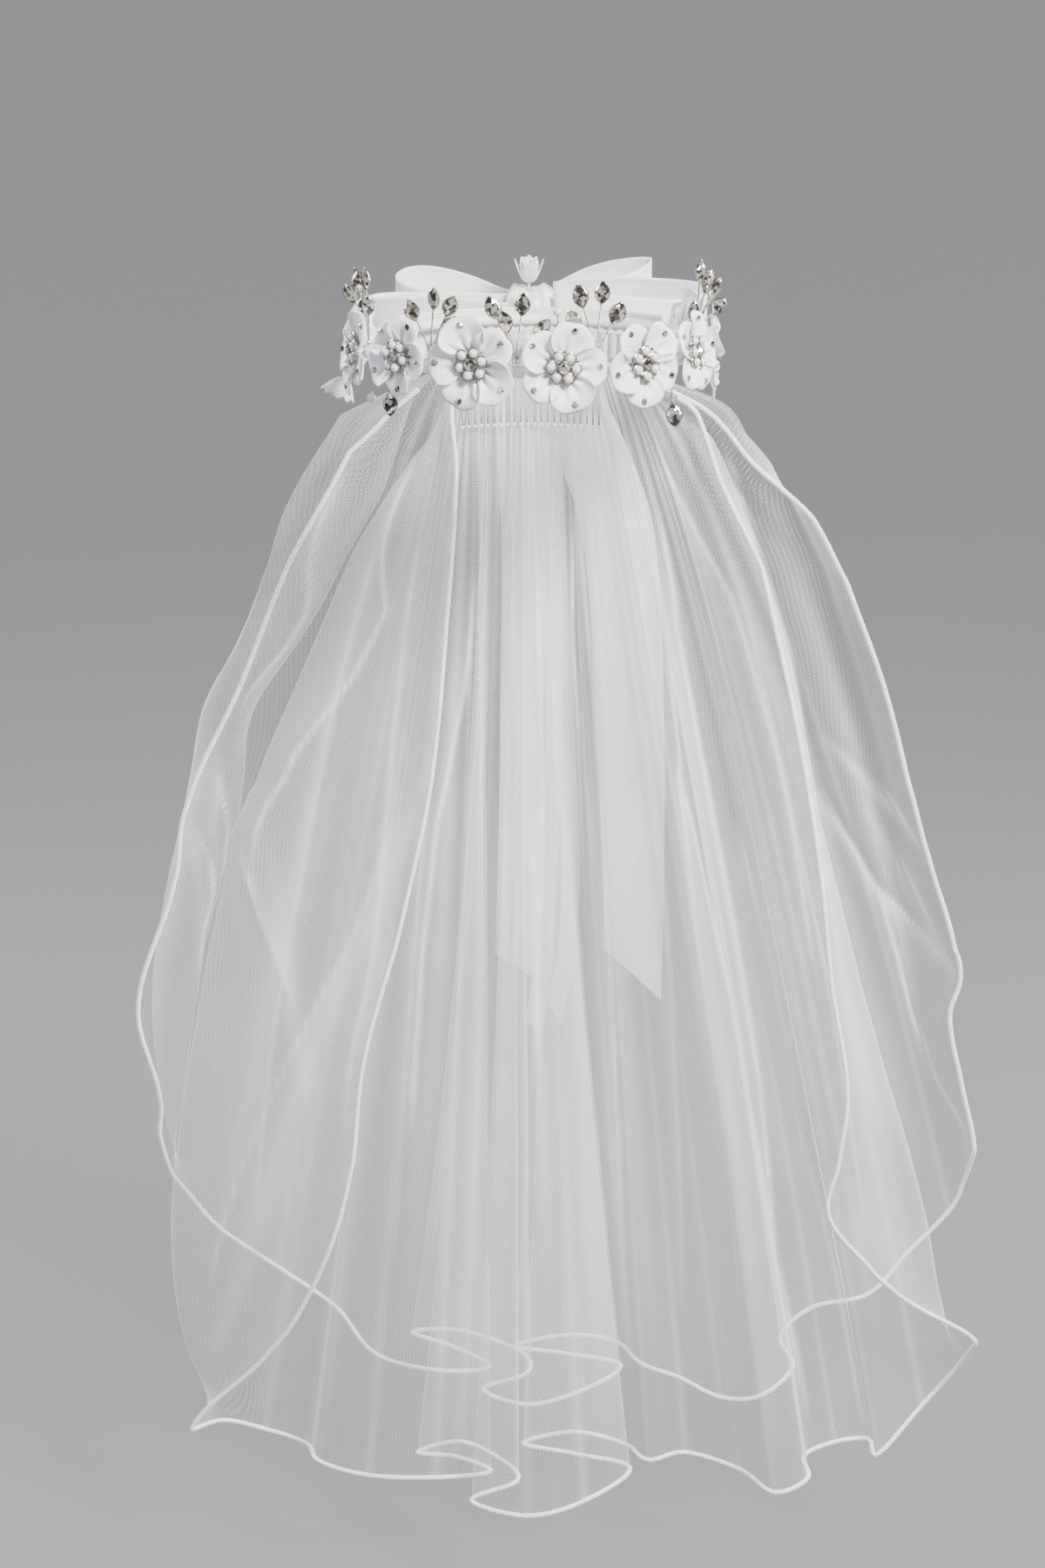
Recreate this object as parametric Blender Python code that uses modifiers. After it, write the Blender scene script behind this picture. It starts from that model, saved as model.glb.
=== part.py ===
"""A two-tier tulle bridal veil gathered on a comb under a wreath of satin flowers.

The origin is the middle of the head ring. The wearer looks along -Y and the veil hangs
behind the head, at +Y. Tables are in millimetres, everything else is in metres.
"""

import math
from collections import namedtuple

import bmesh
import bpy
from mathutils import Matrix, Vector

MM = 0.001
GAP = 0.0003

# Head ring and the bands on it
RING_RADIUS = 0.088
RING_WIRE = 0.0035
BAND_TOP = 0.006
BAND_BOTTOM = -0.019
BACK_BAND_INNER = 0.0919
BACK_BAND_WALL = 0.0012
BACK_BAND_HALF_ANGLE = math.radians(50)
GATHER_BAND_INNER = 0.0773
GATHER_BAND_WALL = 0.0105
GATHER_BAND_TOP = -RING_WIRE - GAP
GATHER_BAND_BOTTOM = -0.0187
GATHER_BAND_HALF_ANGLE = math.radians(38)

# Comb
COMB_TEETH = 22
COMB_TOOTH_PITCH = 0.0037
COMB_TOOTH_WIDTH = 0.0016
COMB_SPINE_WALL = 0.0026
COMB_SPINE_TOP = -0.0090
COMB_SPINE_BOTTOM = -0.0150
COMB_RADIUS = 0.0757
COMB_TIP = -0.056

# Tulle
TULLE_WALL = 0.0012
TULLE_TOP = GATHER_BAND_BOTTOM - GAP - TULLE_WALL
LONG_TIER_RADIUS = 0.0832
SHORT_TIER_RADIUS = 0.0867
LONG_TIER_HANG = 0.95
SHORT_TIER_HANG = 0.65
ROWS_DOWN = 12
COLUMNS_PER_FOLD = 2
TOP_ROW_CROWDING = 1.35
GATHER_DEPTH = 0.0005
GATHER_REACH = 0.12
CORD_RADIUS = 0.0015
CORD_START_ROW = 1
CORD_LIFT = 0.45

# Flowers
FLOWER_RADIUS = 0.0245
FLOWER_EYE = 0.003
FLOWER_WALL = 0.0012
FLOWER_CUP = 0.0065
PETAL_CURL = 0.0022
FLOWER_SEAT = RING_RADIUS + RING_WIRE + GAP + FLOWER_WALL * 0.3
PETALS = 5
CENTRE_PEARLS = 6
CENTRE_SPREAD = 0.0068
CENTRE_LOBE = 0.0009
CENTRE_DOME = 0.0036
CENTRE_LIFT = 0.0041

# Wire sprays
ROOT_BEAD = 0.0014
SPRAY_WIRE = 0.0005
LEAF_FULLNESS = 0.0030
PEARL_FULLNESS = 0.0024
WIRE_SAG = 0.002

# Ribbon
RIBBON_WIDTH = 0.038
RIBBON_WALL = 0.0012
KNOT_HALF_WIDTH = 0.014
KNOT_FRONT = BACK_BAND_INNER + BACK_BAND_WALL + GAP
KNOT_BACK = 0.131
KNOT_BOTTOM = -0.016
KNOT_TOP = 0.0175
STREAMER_WALL = 0.001

# Small cupped flowers
CUP_WALL = 0.001
CUP_THROAT = 0.0012
CUP_WAVES = 6
CUP_WAVE_DEPTH = 0.10

Fold = namedtuple("Fold", "comb_x hem_x hem_y hem_z flare sway belly")
Station = namedtuple("Station", "z x y")
Flower = namedtuple("Flower", "angle height size spin tilt")
Leaf = namedtuple("Leaf", "x y z length")
Spray = namedtuple("Spray", "name angle side leaves")
Loop = namedtuple("Loop", "name side length front back belly lean z_front z_back tip_rise roll")
Streamer = namedtuple("Streamer", "name width rows point")
StreamerRow = namedtuple("StreamerRow", "z x y turn")
Cup = namedtuple("Cup", "name base axis depth rim")

# Side edges and outer folds of the long tier, from the comb down
LONG_LEFT_EDGE = [
    Station(-20.2, -43, 70), Station(-50, -44, 67), Station(-82, -42, 65), Station(-157, -47, 51),
    Station(-248, -56, 35), Station(-332, -74, 25), Station(-405, -94, 20), Station(-465, -101, 18),
    Station(-507, -111, 20), Station(-549, -127, 28), Station(-590, -151, 40), Station(-648, -198, 58),
]
LONG_LEFT_FOLD = [
    Station(-20.2, -41.5, 71), Station(-50, -49.5, 71.5), Station(-73, -64, 73), Station(-130, -99, 72),
    Station(-190, -126, 69), Station(-258, -154, 68), Station(-283, -167, 66), Station(-372, -186, 64),
    Station(-481, -204, 63), Station(-547, -208, 65), Station(-604, -201, 72), Station(-653, -182, 82),
]
LONG_RIGHT_FOLD = [
    Station(-20.2, 46.5, 68), Station(-63, 98, 73), Station(-130, 125, 71), Station(-198, 146, 68),
    Station(-280, 163, 66), Station(-345, 180, 64), Station(-402, 196, 64), Station(-485, 220, 66),
    Station(-560, 237, 73), Station(-620, 249, 79),
]
LONG_RIGHT_EDGE = [
    Station(-20.2, 48, 67), Station(-46, 88, 66), Station(-87, 105, 58), Station(-130, 126, 49),
    Station(-211, 145, 38), Station(-296, 160, 30), Station(-363, 168, 25), Station(-426, 178, 22),
    Station(-469, 174, 22), Station(-502, 170, 25), Station(-544, 200, 35), Station(-563, 220, 45),
    Station(-594, 259, 60),
]
LONG_FOLDS = [
    Fold(-39, -157, 85, -660, 0.90, 0, 4), Fold(-37, -132, 70, -662, 0.90, 0, 2),
    Fold(-35, -123, 50, -664, 0.92, 0, -2), Fold(-33, -94, 36, -666, 0.95, 0, -2),
    Fold(-31, -55, 33, -666, 1.55, 0, 0), Fold(-28, -23, 37, -664, 1.55, 0, 0),
    Fold(-26, -43, 50, -661, 1.55, 0, 0), Fold(-23, -66, 60, -663, 1.55, 0, 0),
    Fold(-19, -40, 70, -661, 1.55, 0, 0), Fold(-14, -14, 52, -666, 1.55, 2, 0),
    Fold(-12, -8, 32, -668, 1.55, 2, -3), Fold(-9, -34, 20, -674, 1.55, 0, -5),
    Fold(-4, -2, 8, -678, 1.55, 0, -5), Fold(1, 31, 17, -673, 1.55, 0, -4),
    Fold(4.5, 58, 41, -664, 1.55, 3, 0), Fold(8.5, 26, 56, -662, 1.55, 0, 0),
    Fold(12, -4, 68, -661, 1.55, 0, 0), Fold(16, 26, 79, -659, 1.55, 0, 0),
    Fold(20, 55, 72, -663, 1.55, 0, 0), Fold(23, 69, 54, -665, 0.95, 0, 0),
    Fold(26, 91, 60, -663, 0.90, 0, 2), Fold(29, 122, 44, -666, 0.90, 0, -2),
    Fold(32, 141, 22, -670, 0.85, 0, -6), Fold(35, 161, 34, -667, 0.85, 2, -2),
    Fold(37.5, 161, 60, -665, 0.80, 0, 2), Fold(40, 180, 74, -663, 0.78, 0, 4),
    Fold(42, 200, 80, -664, 0.75, 0, 4), Fold(43.5, 205, 68, -668, 0.70, 0, 3),
    Fold(45, 232, 86, -645, 0.65, 0, 3),
]

# Side edges and outer folds of the short tier
SHORT_LEFT_EDGE = [
    Station(-20.9, -47.5, 71), Station(-36, -61, 74), Station(-48, -75, 76), Station(-72, -99, 77),
    Station(-134, -133, 79), Station(-205, -162, 82), Station(-277, -194, 86), Station(-324, -203, 90),
    Station(-400, -226, 96), Station(-459, -216, 102), Station(-482, -217, 104),
]
SHORT_LEFT_FLAP = [
    Station(-20.9, -46, 73), Station(-40, -65, 79), Station(-95, -82, 88), Station(-135, -104, 93),
    Station(-176, -126, 95), Station(-223, -157, 98), Station(-267, -164, 102), Station(-295, -170, 104),
    Station(-374, -189, 108), Station(-456, -203, 112), Station(-508, -212, 114),
]
SHORT_LEFT_FOLD = [
    Station(-20.9, -44.5, 74), Station(-39, -76, 87), Station(-54, -105, 95), Station(-103, -134, 104),
    Station(-143, -148, 108), Station(-182, -162, 112), Station(-226, -183, 116), Station(-272, -193, 118),
    Station(-347, -210, 120), Station(-409, -219, 122), Station(-477, -215, 124), Station(-526, -203, 124),
]
SHORT_RIGHT_FOLD = [
    Station(-20.9, 47.2, 73), Station(-45, 103, 87), Station(-66, 119, 94), Station(-82, 132, 100),
    Station(-100, 141, 105), Station(-143, 160, 110), Station(-221, 185, 116), Station(-289, 205, 118),
    Station(-363, 222, 120), Station(-454, 236, 122), Station(-518, 257, 124),
]
SHORT_RIGHT_EDGE = [
    Station(-20.9, 49, 71), Station(-49, 97, 79), Station(-79, 123, 82), Station(-109, 155, 84),
    Station(-148, 176, 88), Station(-207, 198, 92), Station(-265, 214, 96), Station(-310, 227, 98),
    Station(-367, 244, 100), Station(-386, 248, 102), Station(-409, 243, 104), Station(-454, 252, 106),
    Station(-494, 261, 110),
]
SHORT_FOLDS = [
    Fold(-42, -185, 129, -550, 0.75, 0, 6), Fold(-39, -151, 133, -577, 0.80, 0, 6),
    Fold(-36, -117, 136, -604, 0.85, 0, 4), Fold(-33, -93, 120, -627, 0.95, 0, 2),
    Fold(-30, -56, 109, -633, 1.6, 0, 0), Fold(-26, -24, 112, -632, 1.6, 0, 0),
    Fold(-23.5, -46, 125, -625, 1.6, 0, 0), Fold(-21, -71, 133, -619, 1.65, 0, 2),
    Fold(-17, -41, 142, -622, 1.55, 0, 4), Fold(-13, -5, 126, -629, 1.55, 2, 2),
    Fold(-11, -2, 109, -635, 1.55, 1, 2), Fold(-8, -28, 98, -640, 1.55, 0, 2),
    Fold(-4, -1, 89, -646, 1.55, 0, 3), Fold(1, 32, 97, -640, 1.55, 0, 3),
    Fold(6, 54, 112, -631, 1.55, 3, 0), Fold(9.5, 22, 124, -629, 1.55, 0, 2),
    Fold(13, -9, 133, -628, 1.55, 0, 4), Fold(17, 22, 142, -625, 1.55, 0, 6),
    Fold(21, 51, 136, -626, 1.55, 0, 6), Fold(24, 67, 116, -632, 1.55, 0, 2),
    Fold(27, 89, 103, -635, 0.95, 0, 0), Fold(30, 113, 93, -643, 0.90, 0, 0),
    Fold(33, 137, 93, -642, 0.85, 0, 0), Fold(36, 157, 110, -631, 0.85, 2, 2),
    Fold(38, 151, 133, -622, 0.80, 0, 6), Fold(40, 170, 142, -607, 0.75, 0, 8),
    Fold(42, 204, 142, -598, 0.70, 0, 8), Fold(43.5, 226, 138, -570, 0.65, 0, 6),
    Fold(45.5, 250, 132, -540, 0.62, 0, 4),
]

FLOWERS = [
    Flower(-109, -2, 0.92, 20, 4), Flower(-75, 1, 0.98, 8, 6), Flower(-46, 4, 0.84, 30, 6),
    Flower(-18.5, 4, 0.98, 0, 4), Flower(9.5, 3, 0.94, 36, 2), Flower(37, 2, 0.92, 12, 4),
    Flower(62.5, 3, 0.88, 40, 6), Flower(90, -6, 0.94, 16, 0), Flower(117, 1, 0.90, 50, 4),
]

# A spray's wires leave the ring's top (1) or underside (-1) at an angle; each leaf gives its tip
SPRAYS = [
    Spray("crystal_spray_1", -73, 1,
          [Leaf(-91, -4, 39, 13), Leaf(-86, -27, 44, 12), Leaf(-88, -12, 27, 12), Leaf(-84, -33, 31, 12)]),
    Spray("crystal_spray_2", -35.5, 1,
          [Leaf(-63, -64, 33, 12), Leaf(-49, -76, 41, 12), Leaf(-39, -79, 37, 12), Leaf(-38, -80, 27, 12)]),
    Spray("crystal_spray_3", -5, 1,
          [Leaf(-22, -87, 38, 13), Leaf(-15, -88.5, 31, 12), Leaf(-4, -89, 40, 12), Leaf(9, -89, 27, 13)]),
    Spray("crystal_spray_4", 21.5, 1,
          [Leaf(23, -85, 44, 13), Leaf(36, -82, 45, 12), Leaf(18, -88, 31, 13), Leaf(46, -78, 34, 13)]),
    Spray("crystal_spray_5", 69, 1,
          [Leaf(93, -12, 40, 13), Leaf(99, -8, 36, 12), Leaf(101, -6, 25, 12), Leaf(84, -32, 28, 12)]),
    Spray("crystal_spray_6", 99, 1,
          [Leaf(95, 16, 37, 12), Leaf(99, 21, 30, 12), Leaf(90, 25, 41, 12)]),
    Spray("crystal_spray_7", -101, 1,
          [Leaf(-93, 16, 38, 12), Leaf(-98, 14, 30, 12), Leaf(-90, 25, 34, 12)]),
]
HANGING_LEAVES = [
    Spray("hanging_leaf_left", -57, -1, [Leaf(-72, -58, -28, 13)]),
    Spray("hanging_leaf_right", 53, -1, [Leaf(74, -56, -34, 13)]),
]
PEARL_WIRES = [
    Spray("pearl_wire_left", -67, -1, [Leaf(-83, -36, -25, 5)]),
    Spray("pearl_wire_middle", 9, 1, [Leaf(13, -88, 33, 5)]),
]

LOOPS = [
    Loop("bow_loop_upper_left", -1, 60, 114.6, 129, 26, 0.25, -8, -6, 7, 5),
    Loop("bow_loop_upper_right", 1, 52, 114.6, 129, 20, 0.25, -4, -3, 12.3, 3),
    Loop("bow_loop_lower_left", -1, 74, 94.6, 110.5, 9, 0.35, -8, -6, -1, 0),
    Loop("bow_loop_lower_right", 1, 82, 94.6, 110.5, 10, 0.35, -3, 0, -3, 4),
]

STREAMERS = [
    Streamer("streamer_wide_right", 42, [
        StreamerRow(-16.7, 4, 121, 0), StreamerRow(-80, 34, 127, 8), StreamerRow(-138, 51, 130, 12),
        StreamerRow(-255, 58, 133, 22), StreamerRow(-330, 60, 134, 32), StreamerRow(-394, 60, 134, 36),
    ], 0.036),
    Streamer("streamer_wide_left", 34, [
        StreamerRow(-16.7, -6, 123, 0), StreamerRow(-120, 0, 129, 10), StreamerRow(-235, -2, 136, 25),
        StreamerRow(-320, -4, 138, 30), StreamerRow(-392, -6, 138, 30),
    ], 0.022),
    Streamer("streamer_narrow_left", 14, [
        StreamerRow(-16.7, 3, 125.5, 0), StreamerRow(-180, 15, 141, 55), StreamerRow(-262, 14, 146, 52),
        StreamerRow(-330, 11, 147, 45), StreamerRow(-396, 7, 147, 40), StreamerRow(-432, 2, 147, 48),
    ], 0.014),
    Streamer("streamer_narrow_right", 14, [
        StreamerRow(-16.7, 6, 128, 0), StreamerRow(-180, 18, 149, 50), StreamerRow(-262, 21, 153, 44),
        StreamerRow(-330, 24, 154, 40), StreamerRow(-387, 21, 154, 44), StreamerRow(-425, 14, 154, 52),
    ], 0.016),
]

CUPS = [
    Cup("knot_bud", (-1, 105, 18.1), (0, -0.15, 1), 12, 7.5),
    Cup("frilled_flower", (-91.3, 3, -3.3), (-0.42, 0, -0.907), 26.5, 8.5),
]

FINISHES = {
    "tulle": ((0.86, 0.88, 0.89, 1), 0.6),
    "cord": ((0.93, 0.93, 0.91, 1), 0.5),
    "satin": ((0.92, 0.91, 0.88, 1), 0.35),
    "petal": ((0.93, 0.92, 0.93, 1), 0.4),
    "pearl": ((0.90, 0.88, 0.84, 1), 0.2),
    "crystal": ((0.80, 0.77, 0.72, 1), 0.05),
    "comb": ((0.88, 0.90, 0.91, 1), 0.15),
}


def clear_scene():
    for old in list(bpy.data.objects):
        bpy.data.objects.remove(old, do_unlink=True)


def make_material(name, finish):
    colour, roughness = FINISHES[finish]
    material = bpy.data.materials.new(name)
    material.use_nodes = True
    shader = material.node_tree.nodes["Principled BSDF"]
    shader.inputs["Base Color"].default_value = colour
    shader.inputs["Roughness"].default_value = roughness
    shader.inputs["Metallic"].default_value = 0.0
    return material


def add_object(name, mesh, collection, finish):
    made = bpy.data.objects.new(name, mesh)
    collection.objects.link(made)
    made.data.materials.append(make_material(name + "_finish", finish))
    made.data.shade_smooth()
    return made


def smooth_between(values, position):
    """Catmull-Rom value of a list at a fractional index."""
    last = len(values) - 1
    index = min(int(position), last - 1)
    t = position - index
    before = values[max(index - 1, 0)]
    start = values[index]
    end = values[index + 1]
    after = values[min(index + 2, last)]
    return 0.5 * (2 * start + (end - before) * t
                  + (2 * before - 5 * start + 4 * end - after) * t * t
                  + (3 * start - before - 3 * end + after) * t ** 3)


def wall_from_grid(name, across, down, place, collection, finish, wall, closed=False):
    """A sheet whose grid of points is moved by place(column, row), given a wall by Solidify."""
    bm = bmesh.new()
    bmesh.ops.create_grid(bm, x_segments=across, y_segments=down, size=1.0)
    for vertex in bm.verts:
        column = round((vertex.co.x + 1) * across / 2)
        row = round((1 - vertex.co.y) * down / 2)
        vertex.co = place(column, row)
    if closed:
        bmesh.ops.remove_doubles(bm, verts=bm.verts, dist=0.00005)
    mesh = bpy.data.meshes.new(name)
    bm.to_mesh(mesh)
    bm.free()
    made = add_object(name, mesh, collection, finish)
    solidify = made.modifiers.new("Wall", "SOLIDIFY")
    solidify.thickness = wall
    solidify.offset = 0.0
    solidify.use_even_offset = True
    return made


def curve_mesh(name, points, radii, bevel_resolution):
    """A filled tube through the points as a welded mesh."""
    curve = bpy.data.curves.new(name, "CURVE")
    curve.dimensions = "3D"
    curve.bevel_depth = 1.0
    curve.bevel_resolution = bevel_resolution
    curve.use_fill_caps = True
    spline = curve.splines.new("POLY")
    spline.points.add(len(points) - 1)
    for point, place, radius in zip(spline.points, points, radii):
        point.co = (*place, 1.0)
        point.radius = radius
    holder = bpy.data.objects.new(name, curve)
    bpy.context.scene.collection.objects.link(holder)
    evaluated = holder.evaluated_get(bpy.context.evaluated_depsgraph_get())
    mesh = bpy.data.meshes.new_from_object(evaluated)
    bpy.data.objects.remove(holder, do_unlink=True)
    bpy.data.curves.remove(curve)
    bm = bmesh.new()
    bm.from_mesh(mesh)
    bmesh.ops.remove_doubles(bm, verts=bm.verts, dist=0.00002)
    bmesh.ops.recalc_face_normals(bm, faces=bm.faces)
    bm.to_mesh(mesh)
    bm.free()
    return mesh


def united(name, meshes, collection, finish):
    """One body from meshes that run into each other."""
    body = add_object(name, meshes[0], collection, finish)
    helpers = []
    for mesh in meshes[1:]:
        helper = bpy.data.objects.new(name + "_helper", mesh)
        bpy.context.scene.collection.objects.link(helper)
        helpers.append(helper)
        union = body.modifiers.new("Union", "BOOLEAN")
        union.operation = "UNION"
        union.solver = "EXACT"
        union.object = helper
    if helpers:
        bpy.context.view_layer.update()
        evaluated = body.evaluated_get(bpy.context.evaluated_depsgraph_get())
        joined = bpy.data.meshes.new_from_object(evaluated)
        body.modifiers.clear()
        body.data = joined
    for helper in helpers:
        bpy.data.objects.remove(helper, do_unlink=True)
    return body


def arc_point(radius, x, z):
    """A point at the back of a circle about the head's axis."""
    return Vector((x, math.sqrt(radius * radius - x * x), z))


def station_point(stations, v):
    """A hand-chosen edge or fold at v, from 0 at the comb to 1 at the hem."""
    top = stations[0].z
    height = top + (stations[-1].z - top) * v
    for index in range(len(stations) - 1):
        if height >= stations[index + 1].z or index == len(stations) - 2:
            step = (stations[index].z - height) / (stations[index].z - stations[index + 1].z)
            position = index + step
            break
    x = smooth_between([station.x for station in stations], position)
    y = smooth_between([station.y for station in stations], position)
    return Vector((x * MM, y * MM, height * MM))


def fold_point(fold, radius, hang, side, v):
    """A fold line at v: it leaves the comb's arc and flares out to its place in the hem."""
    start = arc_point(radius, fold.comb_x * MM, TULLE_TOP)
    wave = math.sin(math.pi * v)
    gather = GATHER_DEPTH * side * (v / GATHER_REACH) * math.exp(1 - v / GATHER_REACH)
    x = start.x + (fold.hem_x * MM - start.x) * v ** fold.flare + fold.sway * MM * wave
    y = start.y + (fold.hem_y * MM - start.y) * v ** hang + fold.belly * MM * wave + gather
    return Vector((x, y, start.z + (fold.hem_z * MM - start.z) * v))


def tier_lines(left, folds, right, radius, hang, v):
    """The points of every fold line of a tier at v, from its left edge to its right edge."""
    points = [station_point(stations, v) for stations in left]
    for index, fold in enumerate(folds):
        side = 1 if index % 2 else -1
        points.append(fold_point(fold, radius, hang, side, v))
    points.extend(station_point(stations, v) for stations in right)
    return points


def tier_rows(left, folds, right, radius, hang):
    """The tier's grid of points: rows from the comb to the hem, columns from left to right."""
    rows = []
    for row in range(ROWS_DOWN + 1):
        v = (row / ROWS_DOWN) ** TOP_ROW_CROWDING
        lines = tier_lines(left, folds, right, radius, hang, v)
        columns = (len(lines) - 1) * COLUMNS_PER_FOLD
        rows.append([smooth_between(lines, column / COLUMNS_PER_FOLD) for column in range(columns + 1)])
    return rows


def edge_cord_points(rows):
    """The route of a cord sewn round a tier's edge, its own radius and a gap outside it."""
    reach = CORD_RADIUS + GAP + TULLE_WALL * CORD_LIFT
    last = len(rows) - 1
    edge = [(rows[row][0], rows[row][1]) for row in range(CORD_START_ROW, last)]
    edge.append((rows[last][0], rows[last - 1][1]))
    edge.extend((rows[last][column], rows[last - 1][column]) for column in range(1, len(rows[last]) - 1))
    edge.append((rows[last][-1], rows[last - 1][-2]))
    edge.extend((rows[row][-1], rows[row][-2]) for row in range(last - 1, CORD_START_ROW - 1, -1))
    points = []
    for index, (place, inner) in enumerate(edge):
        before = edge[max(index - 1, 0)][0]
        after = edge[min(index + 1, len(edge) - 1)][0]
        along = (after - before).normalized()
        outward = place - inner
        outward = (outward - along * outward.dot(along)).normalized()
        points.append(place + outward * reach)
    return points


def make_tier(name, left, folds, right, radius, hang, collection):
    rows = tier_rows(left, folds, right, radius, hang)
    wall_from_grid(name, len(rows[0]) - 1, len(rows) - 1, lambda column, row: rows[row][column],
                   collection, "tulle", TULLE_WALL)
    route = edge_cord_points(rows)
    mesh = curve_mesh(name + "_cord", route, [CORD_RADIUS] * len(route), 1)
    add_object(name + "_cord", mesh, collection, "cord")


def curved_strip(name, inner, wall, half_angle, bottom, top, steps, collection, finish):
    """An upright strip bent round the back of the head."""
    def place(column, row):
        angle = -half_angle + 2 * half_angle * column / steps
        return Vector((math.sin(angle) * (inner + wall / 2), math.cos(angle) * (inner + wall / 2),
                       top if row == 0 else bottom))
    return wall_from_grid(name, steps, 1, place, collection, finish, wall)


def make_ring(collection):
    bpy.ops.mesh.primitive_torus_add(major_radius=RING_RADIUS, minor_radius=RING_WIRE,
                                     major_segments=36, minor_segments=8)
    ring = bpy.context.active_object
    ring.name = "wreath_ring"
    for owner in list(ring.users_collection):
        owner.objects.unlink(ring)
    collection.objects.link(ring)
    ring.data.materials.append(make_material("wreath_ring_finish", "satin"))
    ring.data.shade_smooth()


def make_comb(name, radius, tip, collection):
    """A bent spine with square teeth that run down and lean with the spine's curve."""
    half_angle = (COMB_TEETH * COMB_TOOTH_PITCH / 2) / radius
    spine = curved_strip(name + "_spine", radius - COMB_SPINE_WALL / 2, COMB_SPINE_WALL, half_angle,
                         COMB_SPINE_BOTTOM, COMB_SPINE_TOP, 12, collection, "comb")
    bpy.context.view_layer.update()
    evaluated = spine.evaluated_get(bpy.context.evaluated_depsgraph_get())
    meshes = [bpy.data.meshes.new_from_object(evaluated)]
    bpy.data.objects.remove(spine, do_unlink=True)
    meshes[0].materials.clear()
    top = COMB_SPINE_BOTTOM + 0.0015
    for tooth in range(COMB_TEETH):
        angle = (tooth - (COMB_TEETH - 1) / 2) * COMB_TOOTH_PITCH / radius
        bm = bmesh.new()
        bmesh.ops.create_cone(bm, cap_ends=True, segments=4, radius1=COMB_TOOTH_WIDTH * 0.3,
                              radius2=COMB_TOOTH_WIDTH * 0.6, depth=top - tip)
        turn = Matrix.Rotation(-angle, 4, "Z") @ Matrix.Rotation(math.pi / 4, 4, "Z")
        place = Matrix.Translation((math.sin(angle) * radius, math.cos(angle) * radius, (top + tip) / 2))
        bmesh.ops.transform(bm, matrix=place @ turn, verts=bm.verts)
        mesh = bpy.data.meshes.new(name + "_tooth")
        bm.to_mesh(mesh)
        bm.free()
        meshes.append(mesh)
    united(name, meshes, collection, "comb")


def flower_frame(flower):
    """Matrix that carries a flower drawn facing +Z to its seat on the ring, facing outwards."""
    angle = math.radians(flower.angle)
    outward = Vector((math.sin(angle), -math.cos(angle), 0))
    place = Matrix.Translation(outward * FLOWER_SEAT + Vector((0, 0, flower.height * MM)))
    face = outward.to_track_quat("Z", "Y").to_matrix().to_4x4()
    tilt = Matrix.Rotation(math.radians(-flower.tilt), 4, "X")
    return place @ face @ tilt @ Matrix.Rotation(math.radians(flower.spin), 4, "Z")


def petal_point(around, out, size):
    """A point of the five-petal cup: around 0..1, out 0 at the eye to 1 at the rim."""
    angle = 2 * math.pi * around
    lobe = abs(math.sin(angle * PETALS / 2)) ** 0.45
    rim = FLOWER_RADIUS * size * (0.80 + 0.20 * lobe)
    radius = FLOWER_EYE + (rim - FLOWER_EYE) * out
    lift = FLOWER_CUP * (out ** 1.6) * (0.45 + 0.55 * lobe) - PETAL_CURL * out ** 4
    return Vector((math.cos(angle) * radius, math.sin(angle) * radius, lift))


def make_flower(index, flower, collection):
    name = "flower_%d" % index
    frame = flower_frame(flower)
    around = PETALS * 4
    out = 2

    def place(column, row):
        return frame @ petal_point(column / around, 1 - row / out, flower.size)

    wall_from_grid(name, around, out, place, collection, "petal", FLOWER_WALL, closed=True)
    make_flower_centre(name + "_centre", frame, collection)


def make_flower_centre(name, frame, collection):
    """Six pearls round one stone, as a low dome with six lobes."""
    bm = bmesh.new()
    bmesh.ops.create_uvsphere(bm, u_segments=12, v_segments=5, radius=1.0)
    for vertex in bm.verts:
        direction = vertex.co.copy()
        angle = math.atan2(direction.y, direction.x)
        spread = CENTRE_SPREAD + CENTRE_LOBE * math.cos(CENTRE_PEARLS * angle)
        height = CENTRE_DOME * direction.z + CENTRE_LIFT
        vertex.co = Vector((direction.x * spread, direction.y * spread, height))
    bmesh.ops.transform(bm, matrix=frame, verts=bm.verts)
    bmesh.ops.recalc_face_normals(bm, faces=bm.faces)
    mesh = bpy.data.meshes.new(name)
    bm.to_mesh(mesh)
    bm.free()
    add_object(name, mesh, collection, "pearl")


def leaf_on_wire(name, root, leaf, fullness):
    """A thin wire that swells into a pointed leaf or a pearl at its end."""
    tip = Vector((leaf.x, leaf.y, leaf.z)) * MM
    start = root + (tip - root).normalized() * ROOT_BEAD * 0.55
    span = tip - start
    stone = leaf.length * MM / span.length
    points = []
    radii = []
    for step in (0.0, 0.5):
        rise = Vector((0, 0, WIRE_SAG * math.sin(math.pi * step)))
        points.append(start + span * step * (1 - stone) + rise)
        radii.append(SPRAY_WIRE)
    for along, width in ((0.0, 0.2), (0.35, 1.0), (0.7, 0.85), (1.0, 0.1)):
        points.append(start + span * (1 - stone + stone * along))
        radii.append(max(SPRAY_WIRE, fullness * width))
    return curve_mesh(name, points, radii, 0)


def root_bead(name, centre):
    """The bead of wound wire where a spray's wires meet."""
    bm = bmesh.new()
    bmesh.ops.create_icosphere(bm, subdivisions=1, radius=ROOT_BEAD)
    bmesh.ops.translate(bm, verts=bm.verts, vec=centre)
    mesh = bpy.data.meshes.new(name)
    bm.to_mesh(mesh)
    bm.free()
    return mesh


def make_spray(spray, fullness, finish, collection):
    angle = math.radians(spray.angle)
    height = spray.side * (RING_WIRE + GAP + ROOT_BEAD)
    seat = Vector((math.sin(angle) * RING_RADIUS, -math.cos(angle) * RING_RADIUS, height))
    meshes = [root_bead(spray.name + "_bead", seat)]
    for leaf in spray.leaves:
        meshes.append(leaf_on_wire(spray.name + "_leaf", seat, leaf, fullness))
    united(spray.name, meshes, collection, finish)


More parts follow.
